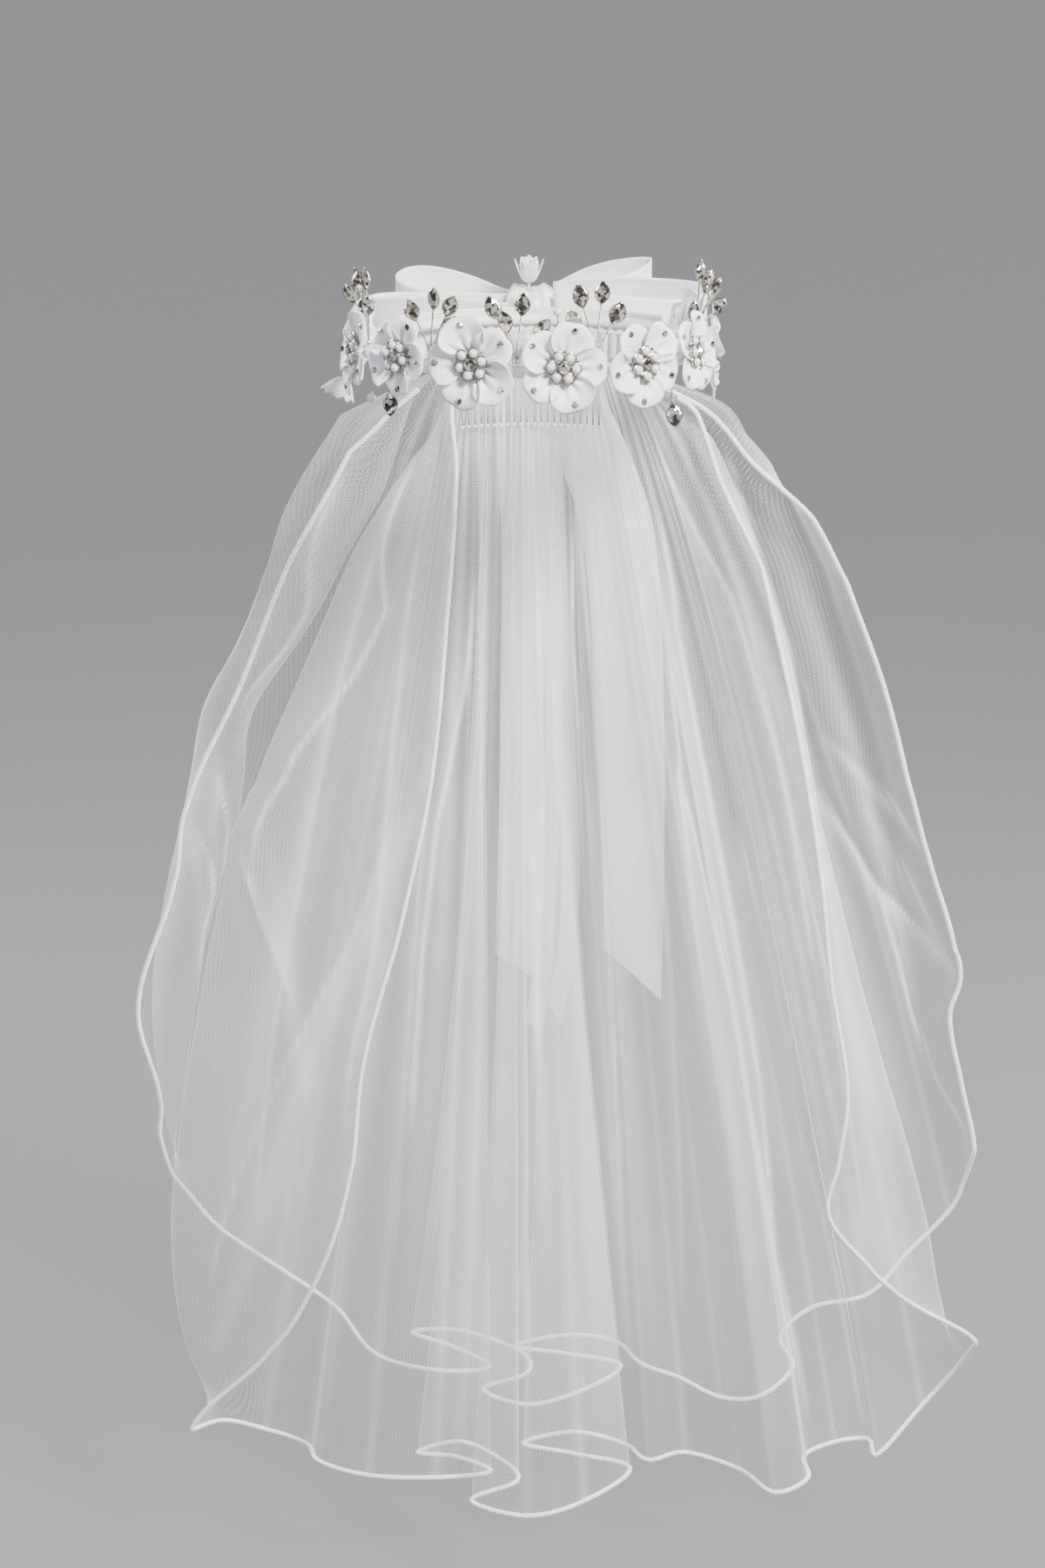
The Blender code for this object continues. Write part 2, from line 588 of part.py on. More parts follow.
def make_loop(loop, collection):
    """A ribbon loop standing on its edge, out from the knot and back, rolled to show its inside."""
    steps = 18

    def place(column, row):
        s = column / steps
        out = math.sin(math.pi * s)
        half = (RIBBON_WIDTH - RIBBON_WALL) / 2
        x = loop.side * (KNOT_HALF_WIDTH + GAP + RIBBON_WALL * 0.5 + loop.length * MM * out)
        y = (loop.front + (loop.back - loop.front) * (1 - math.cos(math.pi * s)) / 2
             + loop.belly * out * (s - loop.lean)) * MM
        roll = loop.roll * math.sin(2 * math.pi * s)
        z = (loop.z_front + (loop.z_back - loop.z_front) * s + loop.tip_rise * out - roll) * MM
        return Vector((x, y + RIBBON_WALL / 2, z + (half if row == 0 else -half)))

    wall_from_grid(loop.name, steps, 1, place, collection, "satin", RIBBON_WALL)


def make_knot(collection):
    bpy.ops.mesh.primitive_cube_add(size=1)
    knot = bpy.context.active_object
    knot.name = "bow_knot"
    for vertex in knot.data.vertices:
        corner = vertex.co.copy()
        vertex.co.x = corner.x * 2 * KNOT_HALF_WIDTH
        vertex.co.y = (KNOT_FRONT + KNOT_BACK) / 2 + corner.y * (KNOT_BACK - KNOT_FRONT)
        vertex.co.z = (KNOT_TOP + KNOT_BOTTOM) / 2 + corner.z * (KNOT_TOP - KNOT_BOTTOM)
    for owner in list(knot.users_collection):
        owner.objects.unlink(knot)
    collection.objects.link(knot)
    knot.data.materials.append(make_material("bow_knot_finish", "satin"))
    bevel = knot.modifiers.new("Rounded", "BEVEL")
    bevel.width = 0.004
    bevel.segments = 3
    knot.data.shade_smooth()


def make_cup(cup, collection):
    """A small frilled flower: a flared cup whose rim waves in and out."""
    around = CUP_WAVES * 3
    turn = Vector(cup.axis).to_track_quat("Z", "Y").to_matrix().to_4x4()
    frame = Matrix.Translation(Vector(cup.base) * MM) @ turn

    def place(column, row):
        angle = 2 * math.pi * column / around
        out = 1 - row / 2
        wave = 1 + CUP_WAVE_DEPTH * out * math.cos(CUP_WAVES * angle)
        radius = CUP_THROAT + (cup.rim * MM - CUP_THROAT) * out ** 0.8 * wave
        return frame @ Vector((math.cos(angle) * radius, math.sin(angle) * radius, cup.depth * MM * out))

    wall_from_grid(cup.name, around, 2, place, collection, "petal", CUP_WALL, closed=True)


def make_streamer(streamer, collection):
    """A ribbon that hangs from the knot, turned a little about its length, with a slant end."""
    steps = 12
    rows = streamer.rows

    def place(column, row):
        position = row / steps * (len(rows) - 1)
        z = smooth_between([entry.z for entry in rows], position) * MM
        x = smooth_between([entry.x for entry in rows], position) * MM
        y = smooth_between([entry.y for entry in rows], position) * MM
        turn = math.radians(smooth_between([entry.turn for entry in rows], position))
        half = streamer.width * MM / 2
        across = half - column * half
        slant = streamer.point * (column / 2) * (1 if row == steps else 0)
        return Vector((x - across * math.cos(turn), y - across * math.sin(turn) * 0.5,
                       z - slant + streamer.point * 0.5 * (1 if row == steps else 0)))

    wall_from_grid(streamer.name, 2, steps, place, collection, "satin", STREAMER_WALL)


def main():
    clear_scene()
    veil = bpy.data.collections.new("Bridal_veil")
    bpy.context.scene.collection.children.link(veil)
    make_tier("long_tier", [LONG_LEFT_EDGE, LONG_LEFT_FOLD], LONG_FOLDS,
              [LONG_RIGHT_FOLD, LONG_RIGHT_EDGE], LONG_TIER_RADIUS, LONG_TIER_HANG, veil)
    make_tier("short_tier", [SHORT_LEFT_EDGE, SHORT_LEFT_FLAP, SHORT_LEFT_FOLD], SHORT_FOLDS,
              [SHORT_RIGHT_FOLD, SHORT_RIGHT_EDGE], SHORT_TIER_RADIUS, SHORT_TIER_HANG, veil)
    make_ring(veil)
    curved_strip("back_band", BACK_BAND_INNER, BACK_BAND_WALL, BACK_BAND_HALF_ANGLE,
                 BAND_BOTTOM, BAND_TOP, 20, veil, "satin")
    curved_strip("gather_band", GATHER_BAND_INNER, GATHER_BAND_WALL, GATHER_BAND_HALF_ANGLE,
                 GATHER_BAND_BOTTOM, GATHER_BAND_TOP, 16, veil, "satin")
    make_comb("comb", COMB_RADIUS, COMB_TIP, veil)
    for index, flower in enumerate(FLOWERS):
        make_flower(index, flower, veil)
    for spray in SPRAYS + HANGING_LEAVES:
        make_spray(spray, LEAF_FULLNESS, "crystal", veil)
    for spray in PEARL_WIRES:
        make_spray(spray, PEARL_FULLNESS, "pearl", veil)
    for loop in LOOPS:
        make_loop(loop, veil)
    make_knot(veil)
    for cup in CUPS:
        make_cup(cup, veil)
    for streamer in STREAMERS:
        make_streamer(streamer, veil)


main()
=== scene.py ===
"""Dresses the bridal veil: net tiers, twisted edge cords, satin flowers, wired crystals, bow and comb."""

import logging
import math
from collections.abc import Callable, Sequence
from dataclasses import dataclass, field
from enum import Enum
from typing import NamedTuple

import bmesh
import bpy
import numpy as np
from mathutils import Matrix, Vector


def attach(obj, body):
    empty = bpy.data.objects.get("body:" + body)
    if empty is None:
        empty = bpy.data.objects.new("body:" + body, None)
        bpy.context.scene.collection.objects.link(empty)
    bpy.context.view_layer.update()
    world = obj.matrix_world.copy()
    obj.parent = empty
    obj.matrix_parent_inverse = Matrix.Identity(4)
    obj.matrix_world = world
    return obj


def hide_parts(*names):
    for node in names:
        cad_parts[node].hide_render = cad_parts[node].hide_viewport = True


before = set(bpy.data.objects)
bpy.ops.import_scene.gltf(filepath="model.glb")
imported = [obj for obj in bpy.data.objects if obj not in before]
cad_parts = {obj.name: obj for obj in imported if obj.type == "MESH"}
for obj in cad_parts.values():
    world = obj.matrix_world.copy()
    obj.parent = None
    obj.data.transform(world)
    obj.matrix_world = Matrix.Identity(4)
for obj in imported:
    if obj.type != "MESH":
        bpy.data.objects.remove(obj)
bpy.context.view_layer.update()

LOG = logging.getLogger("veil")
MM = 0.001

RING_RADIUS = 0.088
RING_WIRE = 0.0035
TULLE_TOP = -0.0202
FLOWER_SEAT = 0.09216
RIBBON_WIDTH = 0.038


class Station(NamedTuple):
    """A point of a side edge or outer fold, in millimetres."""

    z: float
    x: float
    y: float


class Fold(NamedTuple):
    """A fold line of a tier: where it leaves the comb and where it meets the hem, in millimetres."""

    comb_x: float
    hem_x: float
    hem_y: float
    hem_z: float
    flare: float
    sway: float
    belly: float


class Crease(NamedTuple):
    """A soft ridge (or trough, if depth is negative) on a tier, placed across its fold lines."""

    at: float
    drift: float
    top: float
    bottom: float
    depth: float
    width: float


class Ridge(NamedTuple):
    """A sharp crease along a way of (fold, level) pairs, denser on one side: -1 is to the left."""

    way: tuple[tuple[float, float], ...]
    depth: float
    dense: float
    side: int
    spread: float


class Leaf(NamedTuple):
    """The tip of a crystal or pearl on its wire, and the stone's length, in millimetres."""

    x: float
    y: float
    z: float
    length: float


class StreamerRow(NamedTuple):
    """A level of a hanging ribbon: its middle in millimetres and its turn in degrees."""

    z: float
    x: float
    y: float
    turn: float


class StoneCut(Enum):
    """What a wire carries at its end."""

    NAVETTE = "navette"
    PEARL = "pearl"


class Value:
    """A number socket that builds Math nodes from ordinary arithmetic."""

    def __init__(self, graph: "Graph", socket: bpy.types.NodeSocket) -> None:
        """Wraps one output socket of a graph."""
        self.graph = graph
        self.socket = socket

    def __add__(self, other: "Value | float") -> "Value":
        """Sum."""
        return self.graph.math("ADD", self, other)

    def __sub__(self, other: "Value | float") -> "Value":
        """Difference."""
        return self.graph.math("SUBTRACT", self, other)

    def __mul__(self, other: "Value | float") -> "Value":
        """Product."""
        return self.graph.math("MULTIPLY", self, other)

    def __rsub__(self, other: float) -> "Value":
        """Difference from a plain number."""
        return self.graph.math("SUBTRACT", other, self)

    __radd__ = __add__
    __rmul__ = __mul__

    def __pow__(self, other: float) -> "Value":
        """Power."""
        return self.graph.math("POWER", self, other)

    def cos(self) -> "Value":
        """Cosine of an angle in radians."""
        return self.graph.math("COSINE", self)

    def between(self, low: float, high: float) -> "Value":
        """Smooth step from 0 at low to 1 at high.

        Args:
            low: the value that gives 0.
            high: the value that gives 1.

        Returns:
            The step.
        """
        made = self.graph.node("ShaderNodeMapRange", {"interpolation_type": "SMOOTHSTEP"},
                               {"Value": self, "From Min": low, "From Max": high})
        return Value(self.graph, made.outputs["Result"])

    def spread(self, low: float, high: float) -> "Value":
        """Straight line from low at 0 to high at 1."""
        return self * (high - low) + low


class Graph:
    """The node tree of one material."""

    def __init__(self, name: str) -> None:
        """Makes a material whose tree has its Principled shader ready.

        Args:
            name: the material's name.
        """
        self.material = bpy.data.materials.new(name)
        self.material.use_nodes = True
        self.tree = self.material.node_tree
        self.shader = self.tree.nodes["Principled BSDF"]

    def node(self, kind: str, settings: dict[str, object] | None = None,
             inputs: dict[str | int, object] | None = None) -> bpy.types.Node:
        """Adds a node.

        Args:
            kind: the node's type.
            settings: attributes set before its sockets.
            inputs: values or links of its sockets.

        Returns:
            The new node.
        """
        made = self.tree.nodes.new(kind)
        for key, value in (settings or {}).items():
            setattr(made, key, value)
        for key, value in (inputs or {}).items():
            self.feed(made.inputs[key], value)
        return made

    def feed(self, socket: bpy.types.NodeSocket, value: object) -> None:
        """Links or sets a socket.

        Args:
            socket: the input socket.
            value: a value, an output socket or a plain setting.
        """
        if isinstance(value, Value):
            self.tree.links.new(value.socket, socket)
        elif isinstance(value, bpy.types.NodeSocket):
            self.tree.links.new(value, socket)
        else:
            socket.default_value = value

    def math(self, operation: str, first: object, second: object = 0.0) -> Value:
        """Adds a Math node on one or two values."""
        made = self.node("ShaderNodeMath", {"operation": operation}, {0: first, 1: second})
        return Value(self, made.outputs[0])

    def place(self, source: str = "Object") -> bpy.types.NodeSocket:
        """The Object or UV coordinates of the piece."""
        return self.node("ShaderNodeTexCoord").outputs[source]

    def attribute(self, name: str) -> Value:
        """A value stored on the piece's points."""
        return Value(self, self.node("ShaderNodeAttribute", {"attribute_name": name}).outputs["Fac"])

    def axes(self, source: str) -> list[Value]:
        """The three coordinates of a source as values."""
        made = self.node("ShaderNodeSeparateXYZ", None, {0: self.place(source)})
        return [Value(self, made.outputs[index]) for index in range(3)]

    def noise(self, scale: float, detail: float = 2.0, source: str = "Object",
              stretch: tuple[float, float, float] = (1.0, 1.0, 1.0)) -> Value:
        """Noise over the piece.

        Args:
            scale: features per metre, or per UV unit.
            detail: how many finer layers.
            source: Object or UV.
            stretch: factors on the three coordinates.

        Returns:
            The noise value, about 0.5.
        """
        moved = self.node("ShaderNodeMapping", None, {"Vector": self.place(source), "Scale": stretch})
        made = self.node("ShaderNodeTexNoise", None, {
            "Vector": moved.outputs[0], "Scale": scale, "Detail": detail, "Roughness": 0.55})
        return Value(self, made.outputs[0])

    def blend(self, amount: Value, first: Sequence[float], second: Sequence[float]) -> bpy.types.NodeSocket:
        """Mixes two colours by a value.

        Args:
            amount: 0 gives the first colour and 1 the second.
            first: a colour.
            second: a colour.

        Returns:
            The mixed colour's socket.
        """
        made = self.node("ShaderNodeMix", {"data_type": "RGBA"}, {
            0: amount, 6: (*first, 1.0), 7: (*second, 1.0)})
        return made.outputs[2]

    def bump(self, height: Value, strength: float, distance: float) -> None:
        """Feeds a height to the shader's normal.

        Args:
            height: the height over the surface.
            strength: how much of it is used.
            distance: what a height of 1 stands for, in metres.
        """
        made = self.node("ShaderNodeBump", None, {
            "Height": height, "Strength": strength, "Distance": distance})
        self.feed(self.shader.inputs["Normal"], made.outputs[0])

    def finish(self, **sockets: object) -> bpy.types.Material:
        """Sets the shader's sockets, named with underscores for spaces.

        Args:
            **sockets: a value or link for each.

        Returns:
            The material.
        """
        for key, value in sockets.items():
            self.feed(self.shader.inputs[key.replace("_", " ")], value)
        return self.material


@dataclass(frozen=True)
class NetFinish:
    """Soft tulle: a hexagonal net that closes up where it is gathered or seen on edge."""

    colour: tuple[float, float, float] = (0.92, 0.935, 0.94)
    shade: tuple[float, float, float] = (0.82, 0.85, 0.865)
    cell: float = 0.0019
    thread: float = 0.27
    haze: float = 0.005
    edge_haze: float = 0.95
    edge_falloff: float = 3.0
    most_closed: float = 0.97
    open_level: float = -0.80
    thread_level: float = -1.02

    def material(self) -> bpy.types.Material:
        """Builds the net from three crossed waves on the cloth's own UV map, in metres.

        Returns:
            The material.
        """
        graph = Graph("net_tulle")
        across, down, _ = graph.axes("UV")
        pitch = 4 * math.pi / (math.sqrt(3) * self.cell)
        level = (down * pitch).cos()
        right = (across * (pitch * 0.866) - down * (pitch * 0.5)).cos()
        left = (across * (pitch * 0.866) + down * (pitch * 0.5)).cos()
        cells = level + right + left
        threads = cells.between(self.open_level, self.thread_level)
        facing = Value(graph, graph.node("ShaderNodeLayerWeight", None, {"Blend": 0.5}).outputs["Facing"])
        density = facing ** self.edge_falloff * self.edge_haze + graph.attribute("gather") + self.haze
        closed = graph.math("MINIMUM", density, self.most_closed)
        alpha = 1.0 - (1.0 - threads * self.thread) * (1.0 - closed)
        tone = graph.noise(14.0, 1.0).between(0.3, 0.7)
        return graph.finish(Base_Color=graph.blend(tone, self.shade, self.colour),
                            Roughness=tone.spread(0.55, 0.7), Alpha=alpha,
                            Sheen_Weight=0.35, Sheen_Roughness=0.4)


@dataclass(frozen=True)
class SatinFinish:
    """Ribbon satin: a fine warp, a low gloss, faint clouding, a painted highlight along each edge and a
    painted shadow line just inside it.
    """

    name: str
    colour: tuple[float, float, float] = (0.95, 0.94, 0.915)
    # This colour is the deep end of the random clouding and of the painted shadow line inside each edge.
    shade: tuple[float, float, float] = (0.74, 0.735, 0.72)
    warp: float = 2600.0
    gloss: float = 0.28

    def material(self) -> bpy.types.Material:
        """Builds the satin on the ribbon's own UV map, in metres.

        Returns:
            The material.
        """
        graph = Graph(self.name)
        across, along, _ = graph.axes("UV")
        warp = (across * self.warp * math.pi).cos() * 0.5
        weft = (along * self.warp * math.pi * 0.35).cos() * 0.2
        cloud = graph.noise(45.0, 3.0).between(0.25, 0.75)
        slub = graph.noise(900.0, 1.0, "UV", (1.0, 0.08, 1.0))
        selvedge_and_painted_edge_light = graph.attribute("selvedge_and_painted_edge_light")
        # Painted highlight: the outermost edge, a real woven edge that the bump raises, is painted to the
        # full bright colour.
        rim = selvedge_and_painted_edge_light.between(0.93, 0.965)
        # Painted shadow line: a darker band just inside each edge.
        beside = selvedge_and_painted_edge_light.between(0.72, 0.93) - rim
        tone = graph.math("MAXIMUM", cloud * 0.35 + 0.60 - beside * 0.55, rim)
        graph.bump(warp + weft + slub * 1.2 + cloud * 3.0 + rim * 4.0, 0.35, 0.00012)
        return graph.finish(Base_Color=graph.blend(tone, self.shade, self.colour),
                            Roughness=slub.spread(self.gloss - 0.05, self.gloss + 0.12),
                            Sheen_Weight=0.2, Sheen_Roughness=0.35, Coat_Weight=0.12, Coat_Roughness=0.3)


@dataclass(frozen=True)
class PetalFinish:
    """Petal satin: drawn fibres that run out from the eye, and a cool painted shade that deepens towards the
    eye, over the pleats.
    """

    colour: tuple[float, float, float] = (0.93, 0.925, 0.93)
    # This colour is painted shade, mixed in towards the eye where the petals cup and pleat.
    shade: tuple[float, float, float] = (0.52, 0.51, 0.57)

    def material(self) -> bpy.types.Material:
        """Builds the petals on their UV map: across in X, out in Y.

        Returns:
            The material.
        """
        graph = Graph("petal_satin_painted_shade")
        _, out, _ = graph.axes("UV")
        fibre = graph.noise(38.0, 3.0, "UV", (1.0, 0.06, 1.0))
        # Painted shade: the colour darkens towards the eye, broken up by the fibres.
        tone = graph.math("MINIMUM", out * 1.7 + fibre * 0.8 - 0.1, 1.0)
        graph.bump(fibre, 0.45, 0.0006)
        return graph.finish(Base_Color=graph.blend(tone, self.shade, self.colour),
                            Roughness=fibre.spread(0.26, 0.46), Sheen_Weight=0.25, Sheen_Roughness=0.4,
                            Subsurface_Weight=0.08, Subsurface_Radius=(0.004, 0.003, 0.003))


@dataclass(frozen=True)
class CordFinish:
    """Rayon twist: bright strands with fine fibres."""

    colour: tuple[float, float, float] = (0.95, 0.95, 0.93)
    shade: tuple[float, float, float] = (0.80, 0.80, 0.79)

    def material(self) -> bpy.types.Material:
        """Builds the cord's fibres on object coordinates.

        Returns:
            The material.
        """
        graph = Graph("rayon_twist")
        fibre = graph.noise(2400.0, 2.0, "Object", (1.0, 1.0, 0.25))
        graph.bump(fibre, 0.5, 0.0002)
        return graph.finish(Base_Color=graph.blend(fibre.between(0.3, 0.6), self.shade, self.colour),
                            Roughness=fibre.spread(0.35, 0.6), Sheen_Weight=0.3, Sheen_Roughness=0.4)


@dataclass(frozen=True)
class PearlFinish:
    """Glass pearl: nacre over a pale core."""

    colour: tuple[float, float, float] = (0.86, 0.83, 0.77)
    blush: tuple[float, float, float] = (0.74, 0.71, 0.67)

    def material(self) -> bpy.types.Material:
        """Builds the nacre on object coordinates.

        Returns:
            The material.
        """
        graph = Graph("pearl_nacre")
        cloud = graph.noise(260.0, 2.0)
        graph.bump(graph.noise(3000.0, 1.0), 0.08, 0.0001)
        return graph.finish(Base_Color=graph.blend(cloud.between(0.35, 0.65), self.blush, self.colour),
                            Roughness=cloud.spread(0.12, 0.26), Coat_Weight=0.7, Coat_Roughness=0.08,
                            Subsurface_Weight=0.1, Subsurface_Radius=(0.002, 0.0015, 0.001))


@dataclass(frozen=True)
class StoneFinish:
    """Foil-backed champagne crystal: facets painted near black or bright, as painted reflections of the
    studio.
    """

    # Painted reflections: facets run from near black, as if mirroring the unlit studio, to bright champagne,
    # as if mirroring a lamp.
    painted_black_reflection: tuple[float, float, float] = (0.045, 0.04, 0.035)
    pale: tuple[float, float, float] = (0.92, 0.85, 0.72)
    facet: float = 520.0

    def material(self) -> bpy.types.Material:
        """Builds the facets from cells on object coordinates, each cell painted as a black or bright
        reflection.

        Returns:
            The material.
        """
        graph = Graph("champagne_crystal_painted_glints")
        cells = graph.node("ShaderNodeTexVoronoi", None, {"Vector": graph.place(), "Scale": self.facet})
        parts = graph.node("ShaderNodeSeparateColor", None, {0: cells.outputs["Color"]})
        # Painted reflections: a random value per facet cell sets its colour from near black to bright
        # champagne, and its metalness with it.
        painted_facet_glint = Value(graph, parts.outputs[0])
        graph.bump(Value(graph, parts.outputs[1]), 0.5, 0.0004)
        return graph.finish(Base_Color=graph.blend(painted_facet_glint.between(0.25, 0.75), self.painted_black_reflection, self.pale),
                            Roughness=painted_facet_glint.spread(0.03, 0.12), Metallic=painted_facet_glint.spread(0.55, 0.9),
                            Coat_Weight=1.0, Coat_Roughness=0.02, IOR=1.55)


@dataclass(frozen=True)
class WireFinish:
    """Bright silver-plated wire."""

    colour: tuple[float, float, float] = (0.50, 0.49, 0.47)
    tarnish: tuple[float, float, float] = (0.18, 0.17, 0.16)

    def material(self) -> bpy.types.Material:
        """Builds the plating with faint drawn scratches.

        Returns:
            The material.
        """
        graph = Graph("silver_wire")
        wear = graph.noise(1600.0, 2.0)
        graph.bump(wear, 0.2, 0.0001)
        return graph.finish(Base_Color=graph.blend(wear.between(0.3, 0.6), self.tarnish, self.colour),
                            Metallic=1.0, Roughness=wear.spread(0.15, 0.4))


@dataclass(frozen=True)
class PlasticFinish:
    """Clear moulded comb plastic with a faint haze."""

    name: str = "clear_comb_plastic"
    clear: float = 0.78
    colour: tuple[float, float, float] = (0.97, 0.98, 0.985)
    haze: tuple[float, float, float] = (0.90, 0.93, 0.94)

    def material(self) -> bpy.types.Material:
        """Builds the clear plastic with flow marks.

        Returns:
            The material.
        """
        graph = Graph(self.name)
        flow = graph.noise(220.0, 2.0, "Object", (1.0, 1.0, 0.2))
        graph.bump(flow, 0.15, 0.0003)
        return graph.finish(Base_Color=graph.blend(flow, self.haze, self.colour),
                            Roughness=flow.spread(0.05, 0.2), Transmission_Weight=self.clear, IOR=1.49)


@dataclass(frozen=True)
class BackdropFinish:
    """Matt studio paper, evenly lit from behind."""

    colour: tuple[float, float, float] = (0.075, 0.077, 0.08)
    glow: float = 0.30

    def material(self) -> bpy.types.Material:
        """Builds the paper with a hint of tooth.

        Returns:
            The material.
        """
        graph = Graph("studio_paper")
        tooth = graph.noise(60.0, 2.0)
        graph.bump(tooth, 0.05, 0.0005)
        deeper = tuple(channel * 0.97 for channel in self.colour)
        return graph.finish(Base_Color=graph.blend(tooth, deeper, self.colour), Roughness=0.9,
                            Emission_Color=(0.96, 0.98, 1.0, 1.0), Emission_Strength=self.glow)


class Palette:
    """Every material of the veil, made once."""

    def __init__(self) -> None:
        """Makes the materials."""
        self.net = NetFinish().material()
        self.ribbon = SatinFinish("ribbon_satin_cloth").material()
        # The ribbon's reverse side: rougher, as the back of real satin is, and painted darker grey as shade
        # for the bow loops.
        self.reverse = SatinFinish("ribbon_satin_reverse_painted_shade", (0.80, 0.80, 0.80), (0.56, 0.56, 0.58),
                                   gloss=0.5).material()
        self.lining = SatinFinish("gather_band_cloth", (0.88, 0.85, 0.80), (0.78, 0.74, 0.69)).material()
        self.petal = PetalFinish().material()
        self.cord = CordFinish().material()
        self.pearl = PearlFinish().material()
        self.stone = StoneFinish().material()
        self.wire = WireFinish().material()
        self.plastic = PlasticFinish().material()
        self.tip = PlasticFinish("frosted_comb_tip", 0.0).material()
        self.paper = BackdropFinish().material()


def catmull(values: np.ndarray, position: np.ndarray) -> np.ndarray:
    """Smooth values between rows of an array.

    Args:
        values: the array, read along its first axis.
        position: fractional indices.

    Returns:
        One entry for each position.
    """
    last = len(values) - 1
    index = np.clip(position.astype(int), 0, last - 1)
    t = (position - index).reshape((-1,) + (1,) * (values.ndim - 1))
    before = values[np.maximum(index - 1, 0)]
    start = values[index]
    end = values[index + 1]
    after = values[np.minimum(index + 2, last)]
    return 0.5 * (2 * start + (end - before) * t + (2 * before - 5 * start + 4 * end - after) * t * t
                  + (3 * start - before - 3 * end + after) * t ** 3)


def finished(name: str, bm: bmesh.types.BMesh, materials: Sequence[bpy.types.Material],
             smooth: bool = True) -> bpy.types.Object:
    """Turns a bmesh into a piece.

    Args:
        name: the piece's name.
        bm: the shape, freed afterwards.
        materials: its material slots.
        smooth: whether faces are shaded smooth.

    Returns:
        The linked object.
    """
    if smooth:
        for face in bm.faces:
            face.smooth = True
    mesh = bpy.data.meshes.new(name)
    bm.to_mesh(mesh)
    bm.free()
    piece = bpy.data.objects.new(name, mesh)
    bpy.context.scene.collection.objects.link(piece)
    for material in materials:
        mesh.materials.append(material)
    return piece


def draped(name: str, places: np.ndarray, cloth: np.ndarray, material: bpy.types.Material,
           attributes: dict[str, np.ndarray] | None = None, wall: float = 0.0,
           round_about: bool = False, reverse: bpy.types.Material | None = None) -> bpy.types.Object:
    """A grid moved to the given places.

    Args:
        name: the piece's name.
        places: points by column and row.
        cloth: the UV of each point, by column and row.
        material: its finish.
        attributes: further values of each point, by column and row.
        wall: thickness added by Solidify, if any.
        round_about: whether the last column meets the first.
        reverse: the finish of its other side, where the wall gives it one.

    Returns:
        The piece.
    """
    across, down = places.shape[0] - 1, places.shape[1] - 1
    bm = bmesh.new()
    bmesh.ops.create_grid(bm, x_segments=across, y_segments=down, size=1.0)
    spots = []
    for vertex in bm.verts:
        column = round((vertex.co.x + 1) * across / 2)
        row = round((1 - vertex.co.y) * down / 2)
        spots.append((column, row))
        vertex.co = places[column, row]
    piece = finished(name, bm, [material])
    mesh = piece.data
    columns, rows = np.array(spots).T
    corners = np.empty(len(mesh.loops), dtype=np.int32)
    mesh.loops.foreach_get("vertex_index", corners)
    layer = mesh.uv_layers.new(name="cloth")
    layer.data.foreach_set("uv", cloth[columns, rows][corners].astype(np.float32).ravel())
    for key, values in (attributes or {}).items():
        made = mesh.attributes.new(key, "FLOAT", "POINT")
        made.data.foreach_set("value", values[columns, rows].astype(np.float32))
    if round_about:
        bm = bmesh.new()
        bm.from_mesh(mesh)
        bmesh.ops.remove_doubles(bm, verts=bm.verts, dist=0.00002)
        bm.to_mesh(mesh)
        bm.free()
    if wall:
        solid = piece.modifiers.new("Wall", "SOLIDIFY")
        solid.thickness = wall
        solid.offset = 0.0
        if reverse:
            mesh.materials.append(reverse)
            solid.material_offset = 1
    return piece


def cloth_map(places: np.ndarray) -> np.ndarray:
    """UV in metres for a draped grid: arc length across from the middle, and arc length down.

    Args:
        places: points by column and row.

    Returns:
        UV by column and row.
    """
    across = np.linalg.norm(np.diff(places, axis=0), axis=2)
    across = np.vstack([np.zeros((1, places.shape[1])), np.cumsum(across, axis=0)])
    across -= across[-1:] / 2
    down = np.linalg.norm(np.diff(places, axis=1), axis=2)
    down = np.hstack([np.zeros((places.shape[0], 1)), np.cumsum(down, axis=1)])
    return np.stack([across, down], axis=2)


def ride(piece: bpy.types.Object, slot: str, *nodes: str) -> bpy.types.Object:
    """Fixes a piece to the veil and hides the CAD nodes that it stands for.

    Args:
        piece: the piece.
        slot: not used.
        *nodes: the CAD nodes, if any.

    Returns:
        The piece.
    """
    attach(piece, "root")
    if nodes:
        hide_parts(*nodes)
    LOG.info("%s", piece.name)
    return piece


def evenly(points: np.ndarray, step: float) -> np.ndarray:
    """A route's points again, the given step apart.

    Args:
        points: the points of the route.
        step: the distance in metres.

    Returns:
        The new points.
    """
    lengths = np.concatenate([[0.0], np.cumsum(np.linalg.norm(np.diff(points, axis=0), axis=1))])
    places = np.linspace(0.0, lengths[-1], max(int(lengths[-1] / step), 2))
    return np.stack([np.interp(places, lengths, points[:, axis]) for axis in range(3)], axis=1)


def transported(points: np.ndarray) -> tuple[np.ndarray, np.ndarray]:
    """Two directions square to a route at each point, carried along it without twist.

    Args:
        points: the points of the route.

    Returns:
        Both directions, by point.
    """
    along = np.gradient(points, axis=0)
    along /= np.linalg.norm(along, axis=1)[:, None] + 1e-12
    seed = np.array([0.0, 0.0, 1.0]) if abs(along[0][2]) < 0.9 else np.array([1.0, 0.0, 0.0])
    sides = np.empty_like(points)
    side = seed
    for index, direction in enumerate(along):
        side = side - direction * side.dot(direction)
        side = side / (np.linalg.norm(side) + 1e-12)
        sides[index] = side
    return sides, np.cross(along, sides)


